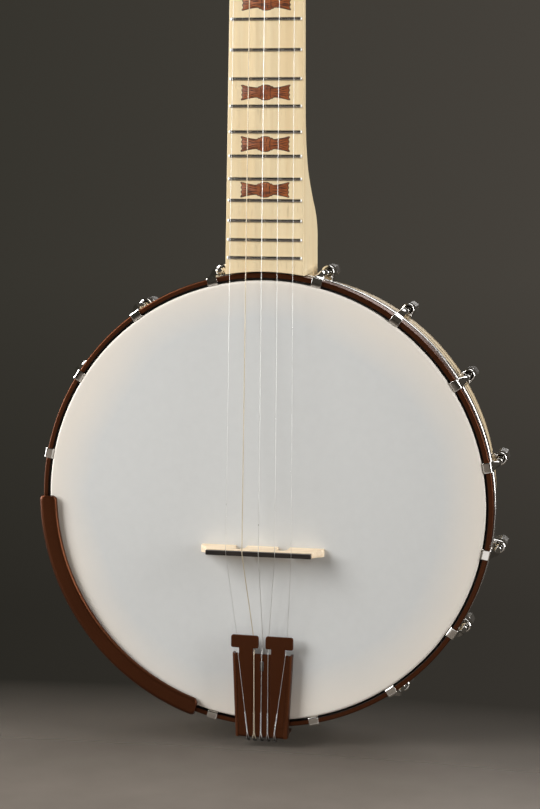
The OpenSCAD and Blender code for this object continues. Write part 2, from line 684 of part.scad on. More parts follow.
module string_coil_5() {
    color("silver") upright() neck_frame() translate([fifth_string_x - 0.5, fifth_y, fifth_z])
        rotate([0, 90, 0]) coil(wire_r[4], spool_r);
}

// ---- Headstock tuners ----
// A unit is modelled for the right-hand side and mirrored for the left
module tuner_place(n) {
    s = tuner_spots[n];
    headstock_frame() translate([s[0], s[1], 0]) mirror([s[0] < 0 ? 1 : 0, 0, 0]) children();
}
module worm_axis() { translate([0, worm_gap, wheel_mid]) rotate([0, 90, 0]) children(); }
module screw_place() { translate([-5.2, -9.6, 0]) children(); }
module tuner_housings() {
    deep = headstock_t + 11.4;
    color("silver") upright() for (n = [0 : 3]) tuner_place(n) difference() {
        union() {
            translate([0, 0, -deep]) cylinder(r = 8.4, h = 11.4 - gap);
            translate([-8.4, 0, -deep]) cube([16.8, 12.4, 11.4 - gap]);
            translate([8, worm_gap, wheel_mid]) rotate([0, 90, 0]) cylinder(r = 3.8, h = 2.6);
            screw_place() translate([0, 0, -headstock_t - 1.8]) cylinder(r = 3, h = 1.8 - gap);
        }
        translate([0, 0, wheel_mid - 1.7]) cylinder(r = 6.9, h = 3.4);
        translate([0, 0, wheel_mid]) cylinder(r = post_r + 0.05, h = 20);
        worm_axis() translate([0, 0, -5.9]) cylinder(r = 3.25, h = 11.8);
        worm_axis() translate([0, 0, -7.9]) cylinder(r = worm_shaft + gap, h = 25);
        screw_place() translate([0, 0, -headstock_t - 5]) cylinder(r = 1.1, h = 8);
    }
}
module tuner_bushings() {
    color("silver") upright() for (n = [0 : 3]) tuner_place(n) difference() {
        union() {
            translate([0, 0, gap]) cylinder(r = 6.4, h = 0.9);
            translate([0, 0, 0.9]) hex(10, 2.6);
            translate([0, 0, 1 - headstock_t]) cylinder(r = bush_r, h = headstock_t);
        }
        translate([0, 0, -20]) cylinder(r = post_r + 0.06, h = 40);
    }
}
module tuner_screws() {
    color("silver") upright() for (n = [0 : 3]) tuner_place(n) screw_place() {
        translate([0, 0, -headstock_t - 3.2]) cylinder(r = 2, h = 1.35);
        translate([0, 0, -headstock_t - 2]) cylinder(r = 0.9, h = 9);
    }
}
module tuner_post(n) {
    color("gainsboro") upright() tuner_place(n) difference() {
        rotate_extrude()
            polygon([[0, wheel_mid - 1.35], [1.9, wheel_mid - 1.35], [1.9, wheel_mid + 1.55],
                [post_r, wheel_mid + 1.55], [post_r, 8.2], [post_waist, 9.6], [post_waist, 14],
                [post_r, 15.4], [post_r, 17.4], [2.2, 18.3], [0, 18.6]]);
        translate([0, 0, 12.8]) rotate([90, 0, 25]) cylinder(r = 0.6, h = 12, center = true);
    }
}
module tuner_post_1() { tuner_post(0); }
module tuner_post_2() { tuner_post(1); }
module tuner_post_3() { tuner_post(2); }
module tuner_post_4() { tuner_post(3); }
// Straight-toothed wheel with a tooth gap facing its worm
module tuner_wheel(n) {
    root = 4.5;
    tip = 6;
    pitch = 360 / wheel_teeth;
    color("goldenrod") upright() tuner_place(n) translate([0, 0, wheel_mid - 1.1])
        linear_extrude(2.2) difference() {
            union() {
                circle(r = root);
                for (i = [0 : wheel_teeth - 1]) rotate(90 + (i + 0.5) * pitch)
                    polygon([[root - 0.6, -0.62], [tip, -0.26], [tip, 0.26], [root - 0.6, 0.62]]);
            }
            circle(r = 1.95);
        }
}
module tuner_wheel_1() { tuner_wheel(0); }
module tuner_wheel_2() { tuner_wheel(1); }
module tuner_wheel_3() { tuner_wheel(2); }
module tuner_wheel_4() { tuner_wheel(3); }
function worm_rings(long) = [for (k = [0 : worm_steps])
    let (z = lerp(-long / 2, long / 2, k / worm_steps))
    [for (q = worm_section) let (a = q[0] - 90 + 360 * z / worm_pitch)
        [q[1] * cos(a), q[1] * sin(a), z]]];
module tuner_worm(n) {
    long = 7.6;
    color("silver") upright() tuner_place(n) worm_axis() {
        loft(worm_rings(long));
        translate([0, 0, -7.5]) cylinder(r = worm_shaft, h = 7.6 - long / 2);
        translate([0, 0, long / 2 - 0.1]) cylinder(r = worm_shaft, h = 16 - long / 2);
    }
}
module tuner_worm_1() { tuner_worm(0); }
module tuner_worm_2() { tuner_worm(1); }
module tuner_worm_3() { tuner_worm(2); }
module tuner_worm_4() { tuner_worm(3); }
module button(bore, depth) {
    difference() {
        union() {
            intersection() {
                translate([0, 0, 10.5]) sphere(r = 8.6);
                translate([-3.4, -10, 0]) cube([6.8, 20, 25]);
            }
            cylinder(r = 3.3, h = 4);
        }
        translate([0, 0, -1]) cylinder(r = bore, h = depth + 1);
    }
}
module tuner_button(n) {
    color("gainsboro") upright() tuner_place(n) worm_axis()
        translate([0, 0, 13.2]) button(worm_shaft + 0.02, 3.2);
}
module tuner_button_1() { tuner_button(0); }
module tuner_button_2() { tuner_button(1); }
module tuner_button_3() { tuner_button(2); }
module tuner_button_4() { tuner_button(3); }

// ---- Fifth-string tuner, pressed into the shoulder of the neck ----
// Its fixed arbor carries the string spool between the neck and the gear case
module fifth_frame() {
    upright() neck_frame() translate([fifth_x, fifth_y, fifth_z]) rotate([0, -90, 0]) children();
}
module fifth_tuner_case() {
    color("silver") fifth_frame() difference() {
        union() {
            translate([0, 0, -11]) cylinder(r = 3, h = 11.6);
            translate([0, 0, 0.05]) cylinder(r = 4.6, h = 1.2);
            cylinder(r = arbor_r, h = case_from + 4);
            difference() {
                translate([0, 0, case_from]) cylinder(r = 6.6, h = 11);
                translate([0, 0, case_from - 1]) cylinder(r = 4, h = 3.8);
                translate([0, 0, case_from + 4.6]) cylinder(r = 4.6, h = 4.6);
            }
        }
        translate([0, 0, case_from + 7]) cylinder(r = 1.85, h = 10);
    }
}
module fifth_tuner_spool() {
    color("gainsboro") fifth_frame() difference() {
        union() {
            translate([0, 0, 1.55]) cylinder(r = 3.7, h = 1.4);
            translate([0, 0, 1.55]) cylinder(r = spool_r, h = 9);
            translate([0, 0, 9]) cylinder(r = 3.7, h = case_from - 9 + 2.4);
        }
        cylinder(r = arbor_r + 0.06, h = 20);
    }
}
module fifth_tuner_button() {
    color("gainsboro") fifth_frame() {
        translate([0, 0, case_from + 8.8]) cylinder(r = 1.8, h = 7);
        translate([0, 0, case_from + 6.2]) cylinder(r = 3.4, h = 2.7);
        translate([0, 0, case_from + 11.6]) button(1.75, 2);
    }
}

rim();
head();
flesh_hoop();
tension_hoop();
bracket_hooks();
hook_nuts();
bracket_shoes();
shoe_bolts();
shoe_washers();
coordinator_rod();
rod_nuts();
rod_washers();
neck_lag_bolts();
tailpiece();
tailpiece_bracket();
tailpiece_bolts();
armrest();
armrest_clamps();
bridge_base();
bridge_saddle();
neck();
fingerboard();
frets();
fret_inlays();
side_dots();
nut();
fifth_string_nut();
string_1();
string_2();
string_3();
string_4();
string_5();
string_coil_1();
string_coil_2();
string_coil_3();
string_coil_4();
string_coil_5();
tuner_housings();
tuner_bushings();
tuner_screws();
tuner_post_1();
tuner_post_2();
tuner_post_3();
tuner_post_4();
tuner_wheel_1();
tuner_wheel_2();
tuner_wheel_3();
tuner_wheel_4();
tuner_worm_1();
tuner_worm_2();
tuner_worm_3();
tuner_worm_4();
tuner_button_1();
tuner_button_2();
tuner_button_3();
tuner_button_4();
fifth_tuner_case();
fifth_tuner_spool();
fifth_tuner_button();
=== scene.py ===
"""Looks for the banjo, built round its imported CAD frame.

Lengths are written in millimetres in the CAD's lying-down layout (x across, y towards the
headstock, z out of the head) and row() turns them into the frame's metres.
"""

import math

import bmesh
import bpy
from mathutils import Matrix, Vector


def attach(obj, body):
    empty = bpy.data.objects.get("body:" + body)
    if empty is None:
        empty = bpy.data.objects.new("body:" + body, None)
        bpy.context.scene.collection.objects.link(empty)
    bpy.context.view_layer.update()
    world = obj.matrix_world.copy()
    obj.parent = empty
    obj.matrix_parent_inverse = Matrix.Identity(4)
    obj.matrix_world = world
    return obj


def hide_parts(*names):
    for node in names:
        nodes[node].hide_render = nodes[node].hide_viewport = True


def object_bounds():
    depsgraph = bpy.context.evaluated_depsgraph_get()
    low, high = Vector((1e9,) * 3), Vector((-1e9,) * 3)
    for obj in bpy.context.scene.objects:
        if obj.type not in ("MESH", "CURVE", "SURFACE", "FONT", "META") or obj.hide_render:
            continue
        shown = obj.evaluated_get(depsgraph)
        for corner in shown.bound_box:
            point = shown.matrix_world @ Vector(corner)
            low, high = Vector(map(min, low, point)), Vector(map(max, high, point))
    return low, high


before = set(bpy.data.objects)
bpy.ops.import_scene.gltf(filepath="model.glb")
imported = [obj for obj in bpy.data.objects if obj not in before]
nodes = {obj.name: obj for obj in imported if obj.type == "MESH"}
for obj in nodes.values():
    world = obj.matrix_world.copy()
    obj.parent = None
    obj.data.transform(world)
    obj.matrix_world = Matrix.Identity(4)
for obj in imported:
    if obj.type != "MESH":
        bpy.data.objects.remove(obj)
cad_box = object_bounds()
scene = bpy.context.scene

# ---------------------------------------------------------------- camera
CAMERA_AT = Vector((0.26581, -1.27701, -0.41956))
CAMERA_RIGHT = Vector((0.978496, 0.206233, 0.003625))
CAMERA_DOWN = Vector((0.028942, -0.119874, -0.992367))
CAMERA_AHEAD = Vector((-0.204225, 0.971132, -0.123265))
LENS = 91.4

camera_data = bpy.data.cameras.new("camera")
camera_data.lens = LENS
camera_data.sensor_width = 36
camera_data.clip_start = 0.05
camera = bpy.data.objects.new("camera", camera_data)
scene.collection.objects.link(camera)
axes = Matrix((CAMERA_RIGHT, -CAMERA_DOWN, -CAMERA_AHEAD)).transposed()
camera.matrix_world = Matrix.Translation(CAMERA_AT) @ axes.to_4x4()
scene.camera = camera
scene.view_settings.view_transform = "Standard"

# ---------------------------------------------------------------- layout
HANGER_Y, HANGER_Z = 640.0, -33.0
RIM_R = 139.3
COLLAR_R = RIM_R + 0.45
HOOP_IN, HOOP_OUT, HOOP_TOP, HOOP_LOW = 140.8, 144.4, -1.2, -12.2
FLESH_TOP, FLESH_LOW, FLESH_OUT = -12.3, -18.5, 144.9
END_GAP_R = FLESH_OUT + 0.4
ARM_SHIFT = 0.5
HOOK_ANGLES = [side * (13.4 + 21.886 * i) for side in (-1, 1) for i in range(8)]
ROD_RING = 147.8
SHOE_TOP, SHOE_LOW, EAR_LOW, NUT_LOW = -33.0, -50.0, -43.0, -58.0
SCALE_LEN, BRIDGE_BACK, BRIDGE_H = 665.2, 32.9, 15.9
BRIDGE_Y = 3 - BRIDGE_BACK
NECK_TILT, HEAD_TILT = math.radians(2.66), math.radians(14)
NECK_Y0, BOARD_T, NUT_T, NUT_W, NUT_X = 145.0, 4.8, 4.0, 31.75, 2.5
NECK_Z0 = 1 + 8.8 * math.tan(NECK_TILT)
NUT_Y = (SCALE_LEN - BRIDGE_BACK - NECK_Y0) / math.cos(NECK_TILT)
HEADSTOCK_T, HEADSTOCK_LEN = 15.0, 176.0
HEADSTOCK_SHAPE = [(0, 16.2), (46, 32.5), (82, 29.8), (126, 34)]  # (distance past the nut, half width)
FIFTH_Y, STEP_LEN, STEP_X = 330, 15, -22.8  # where the neck steps in at the fifth string
TUNER_SPOTS = [(20, 45), (20, 100), (-20, 100), (-20, 45)]
HEAD_SLOT_X = [15.9, 4.1, 0, -6.1, -16.8]
NOTCH_X = [15.3, 4, 0, -5, -15.3]
WIRE_R = [0.125, 0.15, 0.205, 0.29, 0.125]
BRIDGE_X = [0.4 + (2 - i) * 10.4 for i in range(5)]
TAIL_X, TAIL_Y, TAIL_SKEW = 0.6, -149.8, math.radians(-0.5)
TAIL_LEN, PLATE_TOP, PLATE_T, TAIL_PITCH = 66.2, 7.6, 1.6, 4.35
SHELF, TONGUE = TAIL_LEN - 8.2, TAIL_LEN - 11.4  # the cross heads' inner edges and the deck's end


def row(p):
    return Vector((p[0], -p[2] + HANGER_Z, p[1] - HANGER_Y)) / 1000


def rotx(p, a):
    return (p[0], p[1] * math.cos(a) - p[2] * math.sin(a), p[1] * math.sin(a) + p[2] * math.cos(a))


def neck_pt(p):
    x, y, z = rotx(p, -NECK_TILT)
    return (x, y + NECK_Y0, z + NECK_Z0)


def head_pt(p):
    x, y, z = rotx(p, -HEAD_TILT)
    return neck_pt((x + NUT_X, y + NUT_Y + NUT_T, z - BOARD_T))


def tail_pt(p):
    c, s = math.cos(TAIL_SKEW), math.sin(TAIL_SKEW)
    return (TAIL_X + p[0] * c - p[1] * s, TAIL_Y + p[0] * s + p[1] * c, p[2])


def same(p):
    return p


def turned(angle):
    """Places a part drawn at the neck line at this angle clockwise round the pot."""
    c, s = math.cos(math.radians(angle)), math.sin(math.radians(angle))
    return lambda p: (p[0] * c + p[1] * s, -p[0] * s + p[1] * c, p[2])


def lerp(a, b, t):
    return a + (b - a) * t


def ease(t):
    t = min(1.0, max(0.0, t))
    return t * t * (3 - 2 * t)


def fret_y(n):
    return (SCALE_LEN / 2 ** (n / 12) - BRIDGE_BACK - NECK_Y0) / math.cos(NECK_TILT)


def treble_x(y):
    return lerp(25.2, NUT_X + NUT_W / 2, y / NUT_Y)


def bass_x(y):
    if y < FIFTH_Y:
        return lerp(-24.2, STEP_X, y / FIFTH_Y)
    step_end = FIFTH_Y + STEP_LEN
    narrow = lerp(-14, NUT_X - NUT_W / 2, (y - step_end) / (NUT_Y - step_end))
    return lerp(STEP_X, narrow, ease((y - FIFTH_Y) / STEP_LEN))


# ---------------------------------------------------------------- mesh building
class Solid:
    """Closed shells gathered into one mesh."""

    def __init__(self):
        self.verts, self.faces, self.slots = [], [], []
        self.slot = 0

    def _put(self, ring, place):
        first = len(self.verts)
        self.verts += [row(place(p)) for p in ring]
        return first

    def _face(self, corners):
        self.faces.append(corners)
        self.slots.append(self.slot)

    def loft(self, rings, place=same, closed=False):
        """Joins rings of equal count; closed joins the last ring to the first, else both are capped."""
        n = len(rings[0])
        at = [self._put(r, place) for r in rings]
        pairs = list(zip(at, at[1:])) + ([(at[-1], at[0])] if closed else [])
        for a, b in pairs:
            for i in range(n):
                j = (i + 1) % n
                self._face((a + i, a + j, b + j, b + i))
        if not closed:
            self._face(tuple(range(at[0], at[0] + n)))
            self._face(tuple(range(at[-1], at[-1] + n)))
        return self

    def prism(self, outline, low, high, edge=0.3, place=same, steps=3):
        """An outline raised from low to high with its rims rounded."""
        rings = []
        for side in (0, 1):
            for k in range(steps + 1):
                a = math.pi / 2 * k / steps
                inset = edge * (1 - math.sin(a)) if side == 0 else edge * (1 - math.cos(a))
                rise = edge * (1 - math.cos(a)) if side == 0 else edge * (1 - math.sin(a))
                z = low + rise if side == 0 else high - rise
                rings.append([(x, y, z) for x, y in offset(outline, -inset)])
        return self.loft(rings, place)

    def lathe(self, profile, segments=48, place=same):
        """A closed profile of (radius, z) turned once round the z axis."""
        rings = []
        for k in range(segments):
            a = 2 * math.pi * k / segments
            rings.append([(r * math.cos(a), r * math.sin(a), z) for r, z in profile])
        return self.loft(rings, place, closed=True)

    def tube(self, path, radius, sides=10, place=same):
        """A round bar along a path; radius is a number or one number a point."""
        pts = [Vector(p) for p in path]
        radii = [radius] * len(pts) if isinstance(radius, (int, float)) else radius
        rings, side = [], None
        for i, p in enumerate(pts):
            along = (pts[min(i + 1, len(pts) - 1)] - pts[max(i - 1, 0)]).normalized()
            if side is None:
                side = along.cross(Vector((0.13, 0.29, 0.95))).normalized()
            side = (side - along * side.dot(along)).normalized()
            up = along.cross(side)
            rings.append([
                tuple(p + radii[i] * (math.cos(a) * side + math.sin(a) * up))
                for a in (2 * math.pi * k / sides for k in range(sides))
            ])
        return self.loft(rings, place)

    def finish(self, name, materials, replaces=(), slot=None, body="banjo", sharp=38, merge=0.0,
               flat=False):
        mesh = bpy.data.meshes.new(name)
        mesh.from_pydata([tuple(v) for v in self.verts], [], self.faces)
        for m in materials if isinstance(materials, (list, tuple)) else [materials]:
            mesh.materials.append(m)
        mesh.polygons.foreach_set("material_index", self.slots)
        bm = bmesh.new()
        bm.from_mesh(mesh)
        if merge:
            bmesh.ops.remove_doubles(bm, verts=bm.verts, dist=merge)
        bmesh.ops.recalc_face_normals(bm, faces=bm.faces)
        bm.to_mesh(mesh)
        bm.free()
        mesh.polygons.foreach_set("use_smooth", [True] * len(mesh.polygons))
        mesh.set_sharp_from_angle(angle=math.radians(sharp))
        obj = bpy.data.objects.new(name, mesh)
        scene.collection.objects.link(obj)
        if flat:
            weigh = obj.modifiers.new("flat_faces", "WEIGHTED_NORMAL")
            weigh.keep_sharp = True
        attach(obj, body)
        if replaces:
            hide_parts(*([replaces] if isinstance(replaces, str) else replaces))
        return obj


def offset(outline, d):
    """The outline (counter-clockwise) moved outwards by d."""
    if abs(d) < 1e-9:
        return list(outline)
    out, n = [], len(outline)
    for i in range(n):
        a, b, c = Vector(outline[i - 1]), Vector(outline[i]), Vector(outline[(i + 1) % n])
        u, v = (b - a).normalized(), (c - b).normalized()
        nu, nv = Vector((u.y, -u.x)), Vector((v.y, -v.x))
        m = nu + nv
        m = m / max(m.dot(m) / 2, 0.35)
        out.append(tuple(b + m * d))
    return out


def arc(cx, cy, r, start, end, n=8):
    return [(cx + r * math.cos(math.radians(lerp(start, end, i / n))),
             cy + r * math.sin(math.radians(lerp(start, end, i / n)))) for i in range(n + 1)]


def rounded(points, radius, n=4):
    """Rounds the corners of a counter-clockwise outline."""
    out, count = [], len(points)
    for i in range(count):
        a, b, c = Vector(points[i - 1]), Vector(points[i]), Vector(points[(i + 1) % count])
        r = radius[i] if isinstance(radius, (list, tuple)) else radius
        u, v = (a - b), (c - b)
        cut = min(r, u.length * 0.49, v.length * 0.49)
        if cut < 0.02:
            out.append(tuple(b))
            continue
        p, q = b + u.normalized() * cut, b + v.normalized() * cut
        for k in range(n + 1):
            t = k / n
            out.append(tuple(p * (1 - t) ** 2 + b * 2 * t * (1 - t) + q * t * t))
    return out


def mirrored(points):
    return [(-x, y) for x, y in reversed(points)]


def oval(w, t, square, sides):
    """Points round a bar w wide and t thick; square runs from 1, an ellipse, to 0, a rectangle."""
    pts = []
    for k in range(sides):
        a = 2 * math.pi * (k + 0.5) / sides
        c, s = math.cos(a), math.sin(a)
        pts.append((w / 2 * math.copysign(abs(c) ** square, c),
                    t / 2 * math.copysign(abs(s) ** square, s)))
    return pts


# ---------------------------------------------------------------- materials
def srgb(r, g, b):
    def one(c):
        c /= 255
        return c / 12.92 if c <= 0.04045 else ((c + 0.055) / 1.055) ** 2.4
    return (one(r), one(g), one(b), 1)


class Shader:
    """A principled material with short ways to add texture nodes."""

    def __init__(self, name, **sockets):
        self.material = bpy.data.materials.new(name)
        self.material.use_nodes = True
        self.tree = self.material.node_tree
        self.bsdf = self.tree.nodes["Principled BSDF"]
        for key, value in sockets.items():
            self.bsdf.inputs[key.replace("_", " ")].default_value = value

    def node(self, kind, inputs=None, **settings):
        n = self.tree.nodes.new("ShaderNode" + kind)
        for key, value in settings.items():
            setattr(n, key, value)
        for key, value in (inputs or {}).items():
            if isinstance(value, bpy.types.NodeSocket):
                self.tree.links.new(value, n.inputs[key])
            else:
                n.inputs[key].default_value = value
        return n

    def math(self, op, a, b=0.0):
        return self.node("Math", {0: a, 1: b}, operation=op).outputs[0]

    def place(self, scale=(1, 1, 1)):
        where = self.node("TexCoord").outputs["Object"]
        return self.node("Mapping", {"Vector": where, "Scale": scale}).outputs[0]

    def axes(self):
        """x, depth and height of a point, the height counted from the middle of the pot."""
        parts = self.node("SeparateXYZ", {0: self.node("TexCoord").outputs["Object"]}).outputs
        return parts[0], parts[1], self.math("ADD", parts[2], HANGER_Y / 1000)

    def radius(self, a, b):
        squares = self.math("MULTIPLY", a, a), self.math("MULTIPLY", b, b)
        return self.math("SQRT", self.math("ADD", *squares))

    def noise(self, where, scale=1.0, detail=3.0, rough=0.5, w=None):
        inputs = {"Vector": where, "Scale": scale, "Detail": detail, "Roughness": rough}
        if w is not None:
            inputs["W"] = w
        n = self.node("TexNoise", inputs, noise_dimensions="4D" if w is not None else "3D")
        return n.outputs[0]

    def ramp(self, fac, *stops):
        n = self.node("ValToRGB", {0: fac})
        n.color_ramp.elements[0].position, n.color_ramp.elements[0].color = stops[0]
        n.color_ramp.elements[1].position, n.color_ramp.elements[1].color = stops[-1]
        for position, colour in stops[1:-1]:
            e = n.color_ramp.elements.new(position)
            e.color = colour
        return n.outputs[0]

    def mix(self, fac, a, b, blend="MIX"):
        n = self.node("Mix", data_type="RGBA", blend_type=blend)
        for index, value in ((0, fac), (6, a), (7, b)):
            if isinstance(value, bpy.types.NodeSocket):
                self.tree.links.new(value, n.inputs[index])
            else:
                n.inputs[index].default_value = value
        return n.outputs[2]

    def span(self, fac, low, high, out_low=0.0, out_high=1.0):
        n = self.node("MapRange", {0: fac, 1: low, 2: high, 3: out_low, 4: out_high})
        return n.outputs[0]

    def bump(self, height, strength, distance):
        n = self.node("Bump", {"Height": height, "Strength": strength, "Distance": distance})
        self.tree.links.new(n.outputs[0], self.bsdf.inputs["Normal"])

    def out(self, **sockets):
        for key, value in sockets.items():
            self.tree.links.new(value, self.bsdf.inputs[key.replace("_", " ")])
        return self.material


def maple(name, light, dark, along, shine=0.34, streak=0.5, lines=None):
    """Satin-finished maple; along is x, z or round, the way its grain runs."""
    s = Shader(name, Coat_Weight=0.06, Coat_Roughness=0.25)
    if along == "round":
        x, depth, height = s.axes()
        radius = s.radius(x, height)

        def grain(cross, length, detail, rough=0.55):
            v = s.node("CombineXYZ", {0: s.math("MULTIPLY", radius, cross),
                                      1: s.math("MULTIPLY", depth, cross),
                                      2: s.math("MULTIPLY", x, length)}).outputs[0]
            return s.noise(v, 1.0, detail, rough, w=s.math("MULTIPLY", height, length))
    else:
        def grain(cross, length, detail, rough=0.55):
            scale = {"x": (length, cross, cross), "z": (cross, cross, length)}[along]
            return s.noise(s.place(scale), 1.0, detail, rough)
    bands = grain(55, 2.2, 4)
    fibre = grain(700, 14, 3)
    fleck = grain(420, 60, 2)
    colour = s.ramp(bands, (0.3, dark), (0.46, light), (0.62, light), (0.75, dark))
    colour = s.mix(s.span(fibre, 0.35, 0.75, 0.0, streak), colour, dark)
    darker = tuple(c * 0.62 for c in dark[:3]) + (1,)
    colour = s.mix(s.span(fleck, 0.66, 0.74, 0.0, 0.35), colour, darker)
    if lines:
        at = s.math("MULTIPLY", radius, 1000)
        for ply in lines:
            near = s.math("ABSOLUTE", s.math("SUBTRACT", at, ply))
            colour = s.mix(s.span(near, 0.12, 0.3, 0.75, 0.0), colour, darker)
        deep = s.math("MULTIPLY", depth, 1000)
        for stripe, half in ((26.5, 1.1), (36.0, 0.8)):
            near = s.math("ABSOLUTE", s.math("SUBTRACT", deep, stripe))
            colour = s.mix(s.span(near, half, half + 0.3, 0.85, 0.0), colour, srgb(104, 62, 34))
    s.bump(fibre, 0.12, 0.0002)
    return s.out(Base_Color=colour, Roughness=s.span(fibre, 0.2, 0.8, shine - 0.06, shine + 0.1))


def plated(name, colour, rough, cloud=0.5, metallic=1.0, scratch=0.25):
    """Polished or plated metal with fine scratches, cloudy polish and darker patches."""
    dim = tuple(c * 0.72 for c in colour[:3]) + (1,)
    s = Shader(name, Metallic=metallic)
    patch = s.noise(s.place(), 90, 4, 0.6)
    fine = s.noise(s.place((2600, 2600, 500)), 1.0, 2, 0.5)
    tone = s.mix(s.span(patch, 0.4, 0.75, 0.0, cloud), colour, dim)
    s.bump(fine, scratch * 0.2, 0.00004)
    return s.out(Base_Color=tone, Roughness=s.span(
        s.math("ADD", s.math("MULTIPLY", patch, 0.7), s.math("MULTIPLY", fine, 0.3)),
        0.3, 0.75, rough * 0.7, rough * 1.6))


def bronze_paint(name, painted_inner_shade=False):
    """Satin brown metallic paint with a fine orange peel and small flakes, and on the hoop painted shade on
    its inner wall.
    """
    s = Shader(name, Metallic=0.88, Coat_Weight=0.05, Coat_Roughness=0.3)
    flake = s.node("TexVoronoi", {"Vector": s.place(), "Scale": 2600.0}).outputs["Distance"]
    peel = s.noise(s.place(), 900, 3, 0.6)
    cloud = s.noise(s.place(), 18, 3, 0.5)
    base = s.mix(s.span(cloud, 0.3, 0.7), srgb(82, 43, 21), srgb(91, 49, 25))
    colour = s.mix(s.span(flake, 0.0, 0.35, 0.3, 0.0), base, srgb(143, 84, 47))
    # painted shade: the hoop's inner wall, inside about 141.5 mm radius, is painted near black for the shade
    # in the gap between hoop and head
    if painted_inner_shade:
        x, depth, height = s.axes()
        radius = s.radius(x, height)
        colour = s.mix(s.span(radius, 0.1413, 0.1417, 0.95, 0.0), colour, srgb(14, 11, 9))
    s.bump(peel, 0.3, 0.00008)
    return s.out(Base_Color=colour, Roughness=s.span(peel, 0.3, 0.7, 0.34, 0.42))


def frosted_head():
    """Spray-frosted drum membrane, warmer towards its edge."""
    s = Shader("frosted_head", IOR=1.45)
    x, depth, height = s.axes()
    radius = s.radius(x, height)
    drift = s.noise(s.place(), 9, 3, 0.5)
    spray = s.noise(s.place(), 2400, 2, 0.7)
    mottle = s.noise(s.place(), 160, 4, 0.6)
    edge = s.math("ADD", radius, s.math("MULTIPLY", s.math("SUBTRACT", drift, 0.5), 0.03))
    centre = s.mix(s.span(mottle, 0.3, 0.75), srgb(217, 218, 217), srgb(214, 215, 214))
    colour = s.mix(s.span(edge, 0.112, 0.136, 0.0, 1.0), centre, srgb(233, 226, 216))
    colour = s.mix(s.span(spray, 0.62, 0.8, 0.0, 0.12), colour, srgb(190, 190, 188))
    s.bump(spray, 0.2, 0.00006)
    return s.out(Base_Color=colour, Roughness=s.span(mottle, 0.3, 0.7, 0.5, 0.62))


def ebony():
    s = Shader("ebony", Coat_Weight=0.1, Coat_Roughness=0.3)
    fibre = s.noise(s.place((40, 900, 900)), 1.0, 3, 0.6)
    colour = s.ramp(fibre, (0.35, srgb(17, 14, 12)), (0.7, srgb(44, 34, 28)))
    s.bump(fibre, 0.2, 0.0001)
    return s.out(Base_Color=colour, Roughness=s.span(fibre, 0.3, 0.7, 0.3, 0.45))


def red_wood():
    """Reddish inlay wood with dark veins running across the board."""
    s = Shader("red_wood", Coat_Weight=0.2, Coat_Roughness=0.3)
    warp = s.noise(s.place(), 160, 2, 0.5)
    vein = s.noise(s.place((130, 700, 700)), 1.0, 3, 0.65)
    swirl = s.node("TexWave", {"Vector": s.place((60, 1, 420)), "Scale": 1.0, "Distortion": 9.0,
                               "Detail": 2.0}, bands_direction="Z").outputs["Fac"]
    colour = s.mix(s.span(warp, 0.3, 0.7), srgb(178, 100, 52), srgb(148, 78, 38))
    colour = s.mix(s.span(vein, 0.50, 0.68, 0.0, 0.85), colour, srgb(74, 34, 17))
    colour = s.mix(s.span(swirl, 0.82, 0.98, 0.0, 0.7), colour, srgb(52, 22, 13))
    s.bump(vein, 0.25, 0.0001)
    return s.out(Base_Color=colour, Roughness=s.span(vein, 0.3, 0.7, 0.38, 0.5))


def bone(name, light, dark, rough=0.3):
    s = Shader(name, Subsurface_Weight=0.08, Subsurface_Scale=0.002)
    cloud = s.noise(s.place((300, 300, 90)), 1.0, 4, 0.6)
    pores = s.noise(s.place(), 3000, 2, 0.5)
    colour = s.mix(s.span(cloud, 0.35, 0.7), light, dark)
    s.bump(pores, 0.1, 0.00003)
    return s.out(Base_Color=colour, Roughness=s.span(cloud, 0.3, 0.7, rough, rough + 0.12))


def wound_wire():
    """Bronze-wound string: a fine ridge repeated along its length, with painted shade in the grooves."""
    s = Shader("string_bronze", Metallic=0.55)
    turns = s.node("TexWave", {"Vector": s.place(), "Scale": 620.0}, bands_direction="Z").outputs["Fac"]
    cloud = s.noise(s.place(), 60, 3, 0.5)
    colour = s.mix(s.span(cloud, 0.3, 0.7), srgb(208, 196, 174), srgb(194, 180, 156))
    # painted shade: the grooves between the turns are darkened
    colour = s.mix(s.span(turns, 0.0, 0.4, 0.4, 0.0), colour, srgb(150, 134, 110))
    s.bump(turns, 0.3, 0.00003)
    return s.out(Base_Color=colour, Roughness=s.span(cloud, 0.3, 0.7, 0.42, 0.52))


